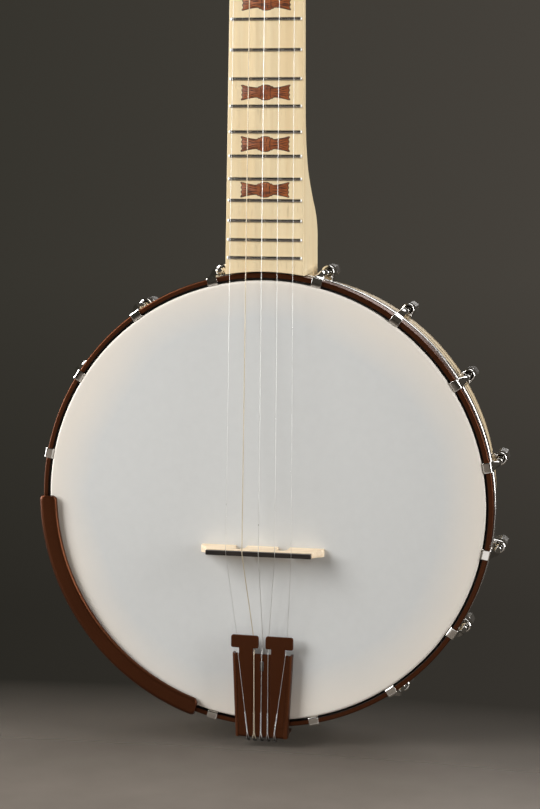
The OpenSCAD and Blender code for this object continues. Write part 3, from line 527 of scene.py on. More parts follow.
MAPLE_LIGHT, MAPLE_DARK = srgb(252, 231, 190), srgb(244, 216, 169)
M = {
    "rim": maple("maple_rim", srgb(249, 229, 190), srgb(224, 194, 146), "round", 0.3, 0.45,
                 lines=(130.6, 134.9)),
    "neck": maple("maple_neck", srgb(251, 231, 191), srgb(243, 217, 172), "z", 0.34, 0.4),
    "board": maple("maple_board", MAPLE_LIGHT, MAPLE_DARK, "z", 0.34, 0.45),
    "bridge": maple("maple_bridge", srgb(248, 229, 200), srgb(216, 180, 140), "x", 0.5, 0.6),
    "head": frosted_head(),
    "paint": bronze_paint("bronze_paint"),
    # the tension hoop's paint, with painted shade on its inner wall
    "hoop": bronze_paint("hoop_paint", painted_inner_shade=True),
    "chrome": plated("chrome", (0.80, 0.78, 0.75, 1), 0.055, 0.35, scratch=0.12),
    "nickel": plated("nickel_hoop", (0.78, 0.76, 0.74, 1), 0.22, 0.4),
    "cast": plated("cast_chrome", (0.80, 0.79, 0.77, 1), 0.36, 0.4),
    "zinc": plated("zinc_steel", (0.62, 0.61, 0.58, 1), 0.30, 0.6, scratch=0.5),
    "dark": plated("dark_steel", (0.10, 0.095, 0.09, 1), 0.30, 0.5),
    "fret": plated("fret_wire", (0.46, 0.44, 0.41, 1), 0.2, 0.4),
    # a brighter, rougher copy of the fret wire for the fret ends: a painted highlight
    "fret_end_painted_highlight": plated("fret_wire_painted_highlight", (0.95, 0.94, 0.92, 1), 0.5, 0.2),
    "brass": plated("gear_brass", (0.72, 0.52, 0.24, 1), 0.28, 0.5),
    "string": plated("string_steel", (0.70, 0.70, 0.68, 1), 0.34, 0.05, scratch=0.0),
    "wound": wound_wire(),
    "ebony": ebony(),
    "inlay": red_wood(),
    "inlay_edge": ebony(),
    "nut": bone("nut_white", srgb(238, 232, 214), srgb(222, 212, 188)),
    "dot": bone("dot_plastic", srgb(58, 40, 30), srgb(44, 30, 22), 0.35),
}

# ---------------------------------------------------------------- pot
CROWN = 1.6


def make_head():
    outer = arc(COLLAR_R - CROWN, -CROWN, CROWN, 90, 0, 8)
    inner = arc(COLLAR_R - CROWN, -CROWN, CROWN - 0.35, 0, 90, 8)
    spokes = [(r, 0) for r in (0.01, 20, 45, 70, 95, 112, 124, 131, 135.5)]
    profile = spokes + outer + [(COLLAR_R, FLESH_LOW + 1), (COLLAR_R - 0.35, FLESH_LOW + 1)] + inner
    profile += [(r, -0.35) for r, z in reversed(spokes)]
    return Solid().lathe(profile, 240).finish(
        "head_membrane", M["head"], "head", "frosted_head", merge=2e-5)


def band(r_in, r_out, low, high, edge, n=4):
    """Section of a flat hoop with rounded edges."""
    inner, outer, bottom, top = r_in + edge, r_out - edge, low + edge, high - edge
    return (arc(outer, top, edge, 0, 90, n) + arc(inner, top, edge, 90, 180, n)
            + arc(inner, bottom, edge, 180, 270, n) + arc(outer, bottom, edge, 270, 360, n))


make_head()
Solid().lathe(band(HOOP_IN, HOOP_OUT, HOOP_LOW, HOOP_TOP, 0.8), 240).finish(
    "tension_hoop_band", M["hoop"], "tension_hoop", "bronze_paint", flat=True)
Solid().lathe(band(COLLAR_R + 0.1, FLESH_OUT, FLESH_LOW, FLESH_TOP, 1.2, 6), 240).finish(
    "flesh_hoop_band", M["nickel"], "flesh_hoop", "nickel_hoop")

# Bent hooks: (radius, z, width, thickness, squareness) from the lip inside the hoop to the rod
CLAW_W = 6.4
CLAW = [(140.25, -3.4, CLAW_W - 0.3, 0.65, 0.18), (140.25, -3.1, CLAW_W, 0.7, 0.15),
        (140.25, -1.3, CLAW_W, 0.72, 0.15), (140.34, -0.86, CLAW_W, 0.85, 0.15),
        (140.62, -0.62, CLAW_W, 1.0, 0.15), (140.95, -0.575, CLAW_W, 1.15, 0.15),
        (144.2, -0.575, CLAW_W, 1.15, 0.15), (144.66, -0.69, CLAW_W, 1.15, 0.15),
        (145.0, -1.03, CLAW_W, 1.15, 0.15), (145.13, -1.5, CLAW_W, 1.17, 0.15),
        (145.15, -4.6, CLAW_W, 1.2, 0.15), (145.25, -6.0, CLAW_W - 0.2, 1.3, 0.22),
        (145.6, -7.6, 5.6, 1.7, 0.35), (146.2, -9.2, 4.8, 2.5, 0.6),
        (147.0, -10.8, 4.3, 3.5, 0.85), (147.6, -12.4, 4.2, 4.1, 1.0), (147.8, -14.5, 4.2, 4.2, 1.0)]


def make_hooks():
    hooks = Solid()
    sides = 20
    pitch = 0.8
    for angle in HOOK_ANGLES:
        stations = list(CLAW) + [(ROD_RING, -30.0, 4.2, 4.2, 1.0)]
        z = -31.0
        while z > NUT_LOW + 3.2:
            stations += [(ROD_RING, z, 3.6, 3.6, 1.0), (ROD_RING, z - pitch / 2, 4.2, 4.2, 1.0)]
            z -= pitch
        rings = []
        for i, (r, z, w, t, sq) in enumerate(stations):
            a, b = stations[max(0, i - 1)], stations[min(len(stations) - 1, i + 1)]
            along = Vector((b[0] - a[0], b[1] - a[1])).normalized()
            out = Vector((-along.y, along.x))
            rings.append([(x, r + out.x * y, z + out.y * y) for x, y in oval(w, t, sq, sides)])
        hooks.loft(rings, turned(angle))
    return hooks.finish("hooks", M["chrome"], "bracket_hooks", "chrome", sharp=50, flat=True)


def level(points, z):
    return [(x, y, z) for x, y in points]


def disc(circle, r, z):
    return level([c * r for c in circle], z)


def on_rod(turn):
    return lambda p: turn((p[0], p[1] + ROD_RING, p[2]))


def make_shoes():
    shoes = Solid()
    half = 4.2
    near = RIM_R + 0.1 - ROD_RING
    ear = [(half, near), (half, -2.5), *arc(0, 0, half - 0.01, 0, 180, 14), (-half, -2.5), (-half, near)]
    base = rounded([(-half, 0), (half, 0), (half, 4.5), (-half, 4.5)], 1.3)
    outline = ear + [(lerp(-half, half, k / 8), near) for k in range(1, 8)]
    circle = [Vector(p).normalized() for p in outline]
    small, tiny = offset(outline, -0.9), offset(outline, -0.3)
    rings = [level(small, EAR_LOW), level(outline, EAR_LOW + 0.9), level(outline, SHOE_TOP - 0.9),
             level(tiny, SHOE_TOP - 0.25), level(small, SHOE_TOP),
             disc(circle, 3.0, SHOE_TOP), disc(circle, 2.75, SHOE_TOP - 0.4),
             disc(circle, 2.75, SHOE_TOP - 2.4), disc(circle, 2.35, SHOE_TOP - 2.6),
             disc(circle, 2.35, EAR_LOW)]
    for angle in HOOK_ANGLES:
        turn = turned(angle)
        shoes.loft(rings, on_rod(turn), closed=True)
        shoes.prism(base, SHOE_LOW, SHOE_TOP + 0.02, 0.7,
                    lambda p, t=turn: t((p[0], p[1] + RIM_R + 0.08, p[2])))
    return shoes.finish("shoes", M["chrome"], "bracket_shoes", "chrome", sharp=45, flat=True)


def hexagon(across):
    """A hexagon this wide across its flats, with each side in four pieces."""
    r = across / math.sqrt(3)
    tips = [(r * math.cos(math.radians(60 * k)), r * math.sin(math.radians(60 * k))) for k in range(7)]
    return [(lerp(a[0], b[0], t), lerp(a[1], b[1], t))
            for a, b in zip(tips, tips[1:]) for t in (0, 0.25, 0.5, 0.75)]


def turned_corners(outline, limit):
    """Pulls the corners of a hexagon back to a circle, as its turned chamfer does."""
    out = []
    for x, y in outline:
        d = math.hypot(x, y)
        k = min(1, limit / d)
        out.append((x * k, y * k))
    return out


def make_nuts():
    nuts = Solid()
    hexa = hexagon(7.2)
    circle = [Vector(p).normalized() for p in hexa]
    top = EAR_LOW - 0.05
    rings = [disc(circle, 2.15, top - 3), disc(circle, 2.15, top - 0.3), disc(circle, 2.5, top),
             level(turned_corners(hexa, 3.45), top), level(turned_corners(hexa, 3.8), top - 0.35),
             level(hexa, top - 0.9), level(hexa, NUT_LOW + 0.9),
             level(turned_corners(hexa, 3.7), NUT_LOW + 0.3), level(turned_corners(hexa, 3.3), NUT_LOW)]
    rings += [disc(circle, r, NUT_LOW + z) for r, z in (
        (3.0, -0.2), (2.9, -1.3), (2.4, -1.6), (1.8, -1.6), (1.6, -1.2), (1.6, 1.5))]
    for angle in HOOK_ANGLES:
        nuts.loft(rings, on_rod(turned(angle)))
    return nuts.finish("nuts", M["nickel"], "hook_nuts", "chrome", sharp=30, flat=True)


make_hooks()
make_shoes()
make_nuts()


# ---------------------------------------------------------------- armrest
def make_armrest():
    start, end, corner = 198.0, 270.0, 3.2
    mid_r, bend_r, bend_w = 140, 141, 6
    skin = (arc(143.2, 1.6, 3.2, 90, 0, 10) + [(146.4, 1.0), (146.2, 0.8), (145.5, 0.8), (145.3, 1.0)]
            + arc(143.2, 1.6, 2.1, 0, 90, 7)
            + [(137.2, 3.6), (136.5, 2.9), (136.2, 1.8), (135.9, 1.4), (135.3, 1.35), (134.9, 1.8),
               (134.85, 2.5), (135.2, 3.7), (135.9, 4.4), (137.0, 4.75), (139.5, 4.8)])
    near = [0, 0.02, 0.06, 0.14, 0.26, 0.42, 0.62, 0.86, 1.15, 1.4]
    span = end - start - 2 * near[-1]
    angles = ([start + a for a in near] + [start + near[-1] + span * k / 70 for k in range(1, 70)]
              + [end - a for a in reversed(near)])
    rings = []
    for angle in angles:
        off = math.radians(min(angle - start, end - angle)) * mid_r
        pull = corner - math.sqrt(max(0.0, corner ** 2 - max(0.0, corner - off) ** 2))
        turn = turned(angle)
        ring = []
        for r, z in skin:
            x, y, h = turn((0, r + pull * min(1.0, max(-0.5, (bend_r - r) / bend_w)), z))
            ring.append((x + ARM_SHIFT, y, h))
        rings.append(ring)
    rest = Solid().loft(rings)
    return rest.finish("armrest_cover", M["paint"], "armrest", "bronze_paint", sharp=50, flat=True)


make_armrest()


# ---------------------------------------------------------------- tailpiece
def make_tailpiece():
    plate = Solid()
    low, deck, top = PLATE_TOP - PLATE_T, PLATE_TOP - 0.3, PLATE_TOP
    bend, wall = 2.3, 1.6

    def side_x(y):
        return lerp(16.8, 19.4, y / 55.6)

    # deck with a slot: two halves and the bridges above and below the slot
    slot_x, slot_from, slot_to = 1.2, TONGUE - 11.5, TONGUE - 4.5
    end = TONGUE - 0.3
    edge_low, edge_high = side_x(0) - bend, side_x(end) - bend
    right = ([(0, 1.9), (edge_low, 1.9)] + [(edge_high, end), (0, end), (0, slot_to)]
             + arc(0, slot_to - slot_x, slot_x, 90, 0, 4)[1:] + arc(0, slot_from + slot_x, slot_x, 0, -90, 4))
    for half in (right, mirrored(right)):
        plate.prism(half, low, deck, 0.01, tail_pt, 1)
    # stems that carry the two cross heads and run down the deck as low ribs
    for s in (-1, 1):
        x, c = s * 10.3, s * 11.1
        tee = rounded([(x - 4.5, 7), (x + 4.5, 7), (x + 4.5, SHELF), (c + 8.9, SHELF), (c + 8.9, TAIL_LEN),
                       (c - 8.9, TAIL_LEN), (c - 8.9, SHELF), (x - 4.5, SHELF)],
                      [2.5, 2.5, 0.4, 1.4, 1.7, 1.7, 1.4, 0.4], 5)
        plate.prism(tee, low + 0.02, top, 0.35, tail_pt)
        # rolled side flange
        rings = []
        stations = 14
        section = (arc(-bend, PLATE_TOP - 0.05 - bend, bend, 90, 0, 7) + [(0, 1.9), (-0.25, 1.5), (-0.8, 1.4),
                   (-1.35, 1.5), (-wall, 1.9)] + arc(-bend, PLATE_TOP - 0.05 - bend, bend - wall, 0, 90, 4))
        for k in range(stations + 1):
            y = lerp(0.5, TONGUE - 0.6, k / stations)
            close = 1 - 0.10 * max(0, 1 - (TONGUE - 0.6 - y) / 1.2)
            rings.append([(s * (side_x(y) + u * close), y, lerp(4.5, z, close)) for u, z in section])
        plate.loft(rings, tail_pt)
    # rolled tail edge and the wall below it
    section = (arc(bend, PLATE_TOP - 0.3 - bend, bend, 90, 180, 7) + [(0, -14.4), (0.4, -15), (1.3, -15),
               (1.7, -14.4)] + arc(bend, PLATE_TOP - 0.3 - bend, bend - 1.7, 180, 90, 4))
    rings = []
    for k in range(13):
        x = lerp(-15.4, 15.4, k / 12)
        rings.append([(x, y, z) for y, z in section])
    plate.loft(rings, tail_pt)
    return plate.finish("tailpiece_body", M["paint"], "tailpiece", "bronze_paint", sharp=40, flat=True)


def make_tail_pegs():
    pegs = Solid()
    profile = [(0.01, -2.4), (0.9, -2.4), (0.9, 1.6), (0.75, 2.0),
               (1.1, 2.2), (1.3, 2.5), (1.2, 2.8), (0.7, 2.95), (0.01, 2.95)]
    for i in range(-2, 3):
        place = lambda p, x=i * TAIL_PITCH: tail_pt((x + p[0], -p[2] + 0.6, PLATE_TOP - 3 + p[1]))
        pegs.lathe(profile, 16, place)
    return pegs.finish("tail_pegs", M["dark"], slot="zinc_steel", merge=3e-5)


make_tailpiece()
make_tail_pegs()

# ---------------------------------------------------------------- bridge
CAP_H = 3.0


def bridge_place(p):
    """From (x, height, share of the half depth) to the layout; the bridge thins towards its top."""
    deep = lerp(2.6, 1.35, p[1] / BRIDGE_H)
    return (p[0], BRIDGE_Y + p[2] * deep, p[1] + 0.05)


def make_bridge():
    half, cap_low = 39.3, BRIDGE_H - CAP_H
    left = ([(-half, 0.05), (-17.2, 0.05), (-17.0, 4.6)] + arc(-13.6, 5, 3.4, 180, 0, 10)
            + [(-10.2, 4.6), (-10.0, 0.05)])
    shoulder = [(half, 2.6), (half - 0.8, 4.2), (half - 3.2, 6.0), (33.9, cap_low - 1.5), (33.6, cap_low)]
    outline = left + mirrored(left) + shoulder + mirrored(shoulder)
    base = Solid()
    rings = []
    for t, inset in ((-1, 0.35), (-0.93, 0.1), (-0.82, 0), (0.82, 0), (0.93, 0.1), (1, 0.35)):
        rings.append([(x, y, t) for x, y in offset(outline, -inset)])
    base.loft(rings, bridge_place)
    base.finish("bridge_body", M["bridge"], "bridge_base", "maple_bridge", sharp=32)
    cap = Solid()
    crest = []
    for x in BRIDGE_X:
        crest += [(x + 0.55, BRIDGE_H), (x + 0.3, BRIDGE_H - 0.3),
                  (x - 0.3, BRIDGE_H - 0.3), (x - 0.55, BRIDGE_H)]
    outline = [(-33.6, cap_low), (33.6, cap_low), (33.6, BRIDGE_H - 0.5), (33.2, BRIDGE_H)] + crest + [
        (-33.2, BRIDGE_H), (-33.6, BRIDGE_H - 0.5)]
    rings = []
    for y, inset in ((-1.45, 0.3), (-1.3, 0.08), (-1.1, 0), (1.1, 0), (1.3, 0.08), (1.45, 0.3)):
        rings.append([(x, y, h) for x, h in offset(outline, -inset)])
    cap.loft(rings, lambda p: (p[0], BRIDGE_Y + p[1], p[2] + 0.05))
    cap.finish("bridge_cap", M["ebony"], "bridge_saddle", "ebony", sharp=32)


make_bridge()

# ---------------------------------------------------------------- neck
# Sections of the neck: distance from its foot, depth of the straight side, full depth
NECK = [(-9, 46, 62), (24, 46, 62), (32, 44, 58), (39, 39, 52), (46, 31, 43), (54, 23, 34.5), (62, 16, 29),
        (72, 11, 25.5), (84, 7.5, 24), (100, 6, 23.4), (210, 5.4, 22.6), (326, 5.2, 22), (347, 5.2, 21.2),
        (420, 5, 20.4), (475, 5, 19.6), (487, 5, 20.6), (520, 5, 21)]


def smooth_at(table, x, column):
    """Monotone cubic through the table's points."""
    xs = [r[0] for r in table]
    ys = [r[column] for r in table]
    n = len(xs)
    k = max(0, min(n - 2, next((i for i in range(n - 1) if x < xs[i + 1]), n - 2)))
    slope = [(ys[i + 1] - ys[i]) / (xs[i + 1] - xs[i]) for i in range(n - 1)]

    def tangent(i):
        if i == 0 or i == n - 1:
            return 0.0
        a, b = slope[i - 1], slope[i]
        return 0.0 if a * b <= 0 else 2 * a * b / (a + b)

    h = xs[k + 1] - xs[k]
    t = min(1.0, max(0.0, (x - xs[k]) / h))
    return (ys[k] * (2 * t ** 3 - 3 * t * t + 1) + tangent(k) * h * (t ** 3 - 2 * t * t + t)
            + ys[k + 1] * (3 * t * t - 2 * t ** 3) + tangent(k + 1) * h * (t ** 3 - t * t))


def headstock_half(t):
    """Half width of the headstock at t past the nut."""
    last, widest = HEADSTOCK_SHAPE[-1]
    if t >= last:
        u = min(1.0, (t - last) / (HEADSTOCK_LEN - last)) ** (1 / 0.85)
        return widest * max(0.0, 1 - u * u) ** 0.425
    a, b = next((a, b) for a, b in zip(HEADSTOCK_SHAPE, HEADSTOCK_SHAPE[1:]) if t < b[0])
    return lerp(a[1], b[1], ease((t - a[0]) / (b[0] - a[0])))


def neck_ring(y, steps=30):
    """One ring round the neck or headstock, y measured along the neck frame from its foot."""
    turn = ease((y - (NUT_Y - 12)) / 22)
    t = y - NUT_Y - NUT_T
    half = headstock_half(max(0.0, t))
    l, r = bass_x(min(y, NUT_Y)), treble_x(min(y, NUT_Y))
    wall, depth = smooth_at(NECK, y, 1), smooth_at(NECK, y, 2)
    square = lerp(1, 0.55, ease((depth - 24) / 30))
    ring = []
    chamfer = 0.9 * ease(t / 3)
    swell = 3.2 * math.exp(-((t + 2) / 11) ** 2)
    deep_head = HEADSTOCK_T + swell

    def back(c, v_neck, v_head):
        cx, w = (l + r) / 2, (r - l) / 2
        a = neck_pt((cx + w * math.copysign(abs(c) ** square, c), y, v_neck))
        b = head_pt((half * math.copysign(abs(c) ** 0.14, c), t, v_head))
        return tuple(lerp(p, q, turn) for p, q in zip(a, b))

    def front(side, inset, drop):
        if t <= 0:
            return neck_pt(((l if side < 0 else r) - side * inset, y, -BOARD_T - drop))
        return head_pt((side * (half - inset), t, -drop))

    ring.append(front(-1, chamfer, 0))
    ring.append(front(-1, 0, chamfer + 0.001))
    for i in range(steps + 1):
        a = math.pi + math.pi * i / steps
        c, s = math.cos(a), math.sin(a)
        drop = 0.0 if i in (0, steps) else (deep_head - 1.2) * abs(s) ** 0.16
        ring.append(back(c, -wall + (depth - wall) * s, -1.2 - drop))
    ring.append(front(1, 0, chamfer + 0.001))
    ring.append(front(1, chamfer, 0))
    return ring


def make_neck():
    ys = [-9]
    tip = NUT_Y + NUT_T + HEADSTOCK_LEN
    # rings up to each distance, this far apart
    for reach, gap in ((150, 3), (FIFTH_Y - 4, 11), (350, 1), (NUT_Y - 14, 9), (NUT_Y + NUT_T + 14, 1.5),
                       (tip - 18, 2.5)):
        while ys[-1] < reach:
            ys.append(ys[-1] + gap)
    rest = tip - ys[-1]
    ys += [ys[-1] + rest * (1 - (1 - k / 14) ** 2) for k in range(1, 14)] + [tip - 0.02]
    body = Solid().loft([neck_ring(y) for y in ys])
    neck = body.finish("neck_body", M["neck"], "neck", "maple_neck", sharp=40)
    pot = Solid().lathe([(0.5, -90), (RIM_R + 0.1, -90), (RIM_R + 0.1, FLESH_LOW - 0.6),
                         (END_GAP_R, FLESH_LOW - 0.6), (END_GAP_R, 40), (0.5, 40)], 240)
    cutter = pot.finish("pot_space", M["neck"])
    carve(neck, cutter)
    return neck


def carve(obj, cutter):
    """Takes the cutter out of the piece and removes it."""
    cut = obj.modifiers.new("cut", "BOOLEAN")
    cut.operation, cut.solver, cut.object = "DIFFERENCE", "EXACT", cutter
    bpy.context.view_layer.update()
    made = bpy.data.meshes.new_from_object(obj.evaluated_get(bpy.context.evaluated_depsgraph_get()))
    obj.modifiers.clear()
    obj.data = made
    made.set_sharp_from_angle(angle=math.radians(40))
    bpy.data.objects.remove(cutter)


def make_board():
    r = END_GAP_R
    foot = []
    for k in range(25):
        x = lerp(bass_x(0), treble_x(0), k / 24)
        foot.append((x, (math.sqrt(r * r - x * x) - NECK_Y0) / math.cos(NECK_TILT)))
    treble = [(treble_x(y), y) for y in (120, 240, 330, 400, NUT_Y)]
    bass = [(bass_x(y), y) for y in (NUT_Y, 420, *(FIFTH_Y + STEP_LEN - k for k in range(16)), 240, 120)]
    board = Solid().prism(foot + treble + bass, -BOARD_T + 0.02, 0, 0.35, neck_pt)
    return board.finish("fingerboard_face", M["board"], "fingerboard", "maple_board", sharp=32)


def make_frets():
    frets = Solid()
    w, h, inset, dome = 2.2, 1.0, 0.9, 1.3
    crown = [(-w / 2, -0.4), (-w / 2, 0.02)] + [
        (w / 2 * math.cos(a), h * math.sin(a)) for a in (math.pi * (1 - k / 10) for k in range(1, 10))] + [
        (w / 2, 0.02), (w / 2, -0.4)]
    for n in range(1, 23):
        y = fret_y(n)
        left, right = bass_x(y) + inset, treble_x(y) - inset
        rings = []
        for k in range(7):
            u = dome * (1 - math.cos(math.pi / 2 * k / 6))
            grow = max(0.12, math.sin(math.pi / 2 * k / 6))
            rings.append((left + u, grow))
        stations = rings + [(lerp(left, right, f), 1.0) for f in (0.25, 0.5, 0.75)] + [
            (right + left - x, g) for x, g in reversed(rings)]
        first = len(frets.slots)
        frets.loft([[(x, y + a * (0.55 + 0.45 * g), b * g if b > 0 else b) for a, b in crown]
                    for x, g in stations], neck_pt)
        around = len(crown)
        # the stations at both ends take the brighter copy: a painted highlight on the fret ends
        for side in (0, len(stations) - 1 - 5):
            for f in range(first + side * around, first + (side + 5) * around):
                frets.slots[f] = 1
    return frets.finish("fret_wires", [M["fret"], M["fret_end_painted_highlight"]], "frets", "fret_wire", sharp=60)


INLAY_FRETS = (3, 5, 7, 10, 12, 15, 17, 19)


def inlay_outline():
    quarter = [(0, 4.7), (1.4, 4.65), (2.6, 4.35), (3.3, 3.75), (4.4, 3.7), (4.9, 3.05), (6.2, 2.95),
               (9.0, 3.35), (12.2, 4.0), (14.6, 4.65), (15.3, 4.6), (15.35, 4.1), (14.6, 3.1), (14.5, 2.5),
               (15.0, 1.9), (15.15, 1.2), (14.7, 0.5), (14.4, 0.0)]
    loop = [(x, -y) for x, y in quarter] + list(reversed(quarter[:-1]))
    left = [(-x, y) for x, y in quarter[1:]] + [(-x, -y) for x, y in reversed(quarter[1:-1])]
    return loop + left


# Engraved lines in one quarter of an inlay
INLAY_LINES = [[(3.6, 3.3), (2.9, 1.9), (2.8, 0.5), (3.1, 0.0)], [(1.2, 4.2), (0.7, 2.6), (1.0, 1.1)],
               [(4.8, 0.7), (7.5, 0.9), (10.5, 1.7), (13.4, 2.5)], [(5.6, 1.9), (8.6, 2.4), (11.8, 3.1)],
               [(9.4, 0.3), (12.0, 0.7), (13.9, 0.9)]]


def ribbon(points, width):
    """The outline of a line of this width, tapered at its ends."""
    pts = [Vector(p) for p in points]
    left, right = [], []
    for i, p in enumerate(pts):
        along = (pts[min(i + 1, len(pts) - 1)] - pts[max(i - 1, 0)]).normalized()
        side = Vector((-along.y, along.x)) * width / 2 * (0.35 if i in (0, len(pts) - 1) else 1)
        left.append(tuple(p + side))
        right.append(tuple(p - side))
    loop = right + list(reversed(left))
    area = sum(a[0] * b[1] - b[0] * a[1] for a, b in zip(loop, loop[1:] + loop[:1]))
    return loop if area > 0 else list(reversed(loop))


def make_inlays():
    made = Solid()
    outline = inlay_outline()
    for n in INLAY_FRETS:
        y = (fret_y(n) + fret_y(n - 1)) / 2
        x = (bass_x(y) + treble_x(y)) / 2
        place = lambda p, cx=x, cy=y: neck_pt((p[0] + cx, p[1] + cy, p[2]))
        made.slot = 1
        made.prism(offset(outline, 0.12), -1.0, 0.02, 0.01, place, 1)
        made.slot = 0
        made.prism(offset(outline, -0.28), -0.5, 0.06, 0.04, place, 2)
        made.slot = 1
        for line in INLAY_LINES:
            for flip_x in (-1, 1):
                for flip_y in (-1, 1):
                    strip = ribbon([(u * flip_x, v * flip_y) for u, v in line], 0.4)
                    made.prism(strip, 0.02, 0.075, 0.004, place, 1)
    return made.finish("inlay_bows", [M["inlay"], M["inlay_edge"]], "fret_inlays", "red_wood", sharp=40)


make_neck()
make_board()
make_frets()
make_inlays()


# ---------------------------------------------------------------- strings
def dense(points, bend=1.2):
    """The same run with each corner eased, so that the wire bends rather than breaks."""
    pts = [Vector(p) for p in points]
    out = [pts[0]]
    for a, b, c in zip(pts, pts[1:], pts[2:]):
        p = b + (a - b).normalized() * min(bend, (a - b).length * 0.4)
        q = b + (c - b).normalized() * min(bend, (c - b).length * 0.4)
        for k in range(5):
            t = k / 4
            out.append(p * (1 - t) ** 2 + b * 2 * t * (1 - t) + q * t * t)
    return out + [pts[-1]]


def tail_run(n):
    w = WIRE_R[n]
    over, under = PLATE_TOP + w + 0.08, PLATE_TOP - PLATE_T - w - 0.12
    slot_x, notch = HEAD_SLOT_X[n], NOTCH_X[n]
    return [tail_pt(((2 - n) * TAIL_PITCH, 3.5, over)), tail_pt((notch, TONGUE - 0.2, over)),
            tail_pt((notch, SHELF - 0.5, under)), tail_pt((slot_x, TAIL_LEN + 0.4, under)),
            (BRIDGE_X[n], BRIDGE_Y, BRIDGE_H + w - 0.1)]


def make_strings():
    for n in range(5):
        w = WIRE_R[n]
        run = tail_run(n)
        if n < 4:
            x = NUT_X + (1.5 - n) * 8.3
            spot = TUNER_SPOTS[n]
            side = math.copysign(1, spot[0])
            run += [neck_pt((x, NUT_Y - 0.6, 1.4 + w)), neck_pt((x, NUT_Y + NUT_T + 0.5, 1.4 + w)),
                    head_pt((spot[0] - side * (2.3 + 3 * w + 0.2), spot[1] - 1, 10.2 + 4.5 * w))]
        else:
            run += [neck_pt((-20.2, 328.6, 1.35 + w)), neck_pt((-20.2, 333.4, 1.35 + w)),
                    neck_pt((-20.2, 350.6, -8 + 2.8 + 3 * w + 0.25))]
        wire = Solid()
        wire.tube(dense(run), w, 10)
        # twisted end: a strand wrapped round the wire, then two legs over the tail edge to the peg
        x0, over = (2 - n) * TAIL_PITCH, PLATE_TOP + w + 0.08
        to = Vector((NOTCH_X[n], TONGUE - 0.2))
        heading = (to - Vector((x0, 3.5))).normalized()
        turns, steps, twist_len = 8, 8, 13.5
        wrap = []
        for k in range(turns * steps + 1):
            a = 2 * math.pi * k / steps
            d = twist_len * k / (turns * steps)
            p = Vector((x0, 3.5)) + heading * d
            across = Vector((heading.y, -heading.x)) * ((w + 0.2) * math.cos(a))
            wrap.append(tail_pt((p.x + across.x, p.y + across.y, over + 0.18 + 0.2 * math.sin(a))))
        wire.tube(wrap, 0.19, 6)
        for s in (-1, 1):
            gap = 0.55 + w
            leg = [(x0, 3.9, over), (x0 + s * gap * 0.7, 2.0, over), (x0 + s * gap, 0.6, over - 0.15),
                   (x0 + s * gap, -0.35, over - 0.9), (x0 + s * (gap + 0.2), -0.7, over - 2.2),
                   (x0 + s * (gap + 0.25), -0.8, PLATE_TOP - 3.2),
                   (x0 + s * (gap * 0.7), -0.8, PLATE_TOP - 4.0), (x0, -0.8, PLATE_TOP - 4.35)]
            wire.tube([tail_pt(p) for p in dense(leg, 0.6)], w, 8)
        name = "string_wire_%d" % (n + 1)
        wire.finish(name, M["wound" if n == 3 else "string"], "string_%d" % (n + 1),
                    "string_bronze" if n == 3 else "string_steel", sharp=60)


make_strings()

# ---------------------------------------------------------------- CAD nodes that keep their shape
FINISH = {
    "rim": "rim", "shoe_bolts": "zinc", "shoe_washers": "zinc", "coordinator_rod": "zinc",
    "rod_nuts": "zinc", "rod_washers": "zinc", "neck_lag_bolts": "zinc",
    "tailpiece_bracket": "chrome", "tailpiece_bolts": "chrome", "armrest_clamps": "chrome",
    "side_dots": "dot", "nut": "nut", "fifth_string_nut": "nut",
    "tuner_housings": "cast", "tuner_bushings": "chrome", "tuner_screws": "chrome",
    "fifth_tuner_case": "cast", "fifth_tuner_spool": "chrome", "fifth_tuner_button": "cast",
}
for i in range(1, 6):
    FINISH["string_coil_%d" % i] = "wound" if i == 4 else "string"
for i in range(1, 5):
    FINISH["tuner_post_%d" % i] = "chrome"
    FINISH["tuner_wheel_%d" % i] = "brass"
    FINISH["tuner_worm_%d" % i] = "zinc"
    FINISH["tuner_button_%d" % i] = "cast"
for name, key in FINISH.items():
    mesh = nodes[name].data
    mesh.materials.clear()
    mesh.materials.append(M[key])

# Width of the small bevel on the edges of each machined CAD part, in millimetres
SOFT = {"rim": 0.6, "tailpiece_bracket": 0.5, "armrest_clamps": 0.3, "tuner_housings": 0.45,
        "tuner_bushings": 0.2, "fifth_tuner_case": 0.4, "fifth_tuner_spool": 0.12, "nut": 0.2,
        "rod_nuts": 0.35, "rod_washers": 0.25, "shoe_washers": 0.2, "neck_lag_bolts": 0.25,
        "shoe_bolts": 0.25, "tailpiece_bolts": 0.2, "coordinator_rod": 0.3}
for i in range(1, 5):
    SOFT["tuner_post_%d" % i] = 0.15
    SOFT["tuner_worm_%d" % i] = 0.1
for name, width in SOFT.items():
    part = nodes[name]
    weld = part.modifiers.new("weld", "WELD")
    weld.merge_threshold = 2e-6
    flatten = part.modifiers.new("flatten", "DECIMATE")
    flatten.decimate_type = "DISSOLVE"
    flatten.angle_limit = math.radians(0.5)
    soft = part.modifiers.new("soft_edges", "BEVEL")
    soft.width = width / 1000
    soft.segments = 2
    soft.limit_method = "ANGLE"
    soft.angle_limit = math.radians(40)
    soft.harden_normals = True

# ---------------------------------------------------------------- stage and light
FLOOR_Z = cad_box[0].z - 0.004
FLOOR_R, FADE_FROM, FADE_TO = 2.4, 1.66, 1.90
DAYLIGHT = (1.0, 1.0, 0.99)


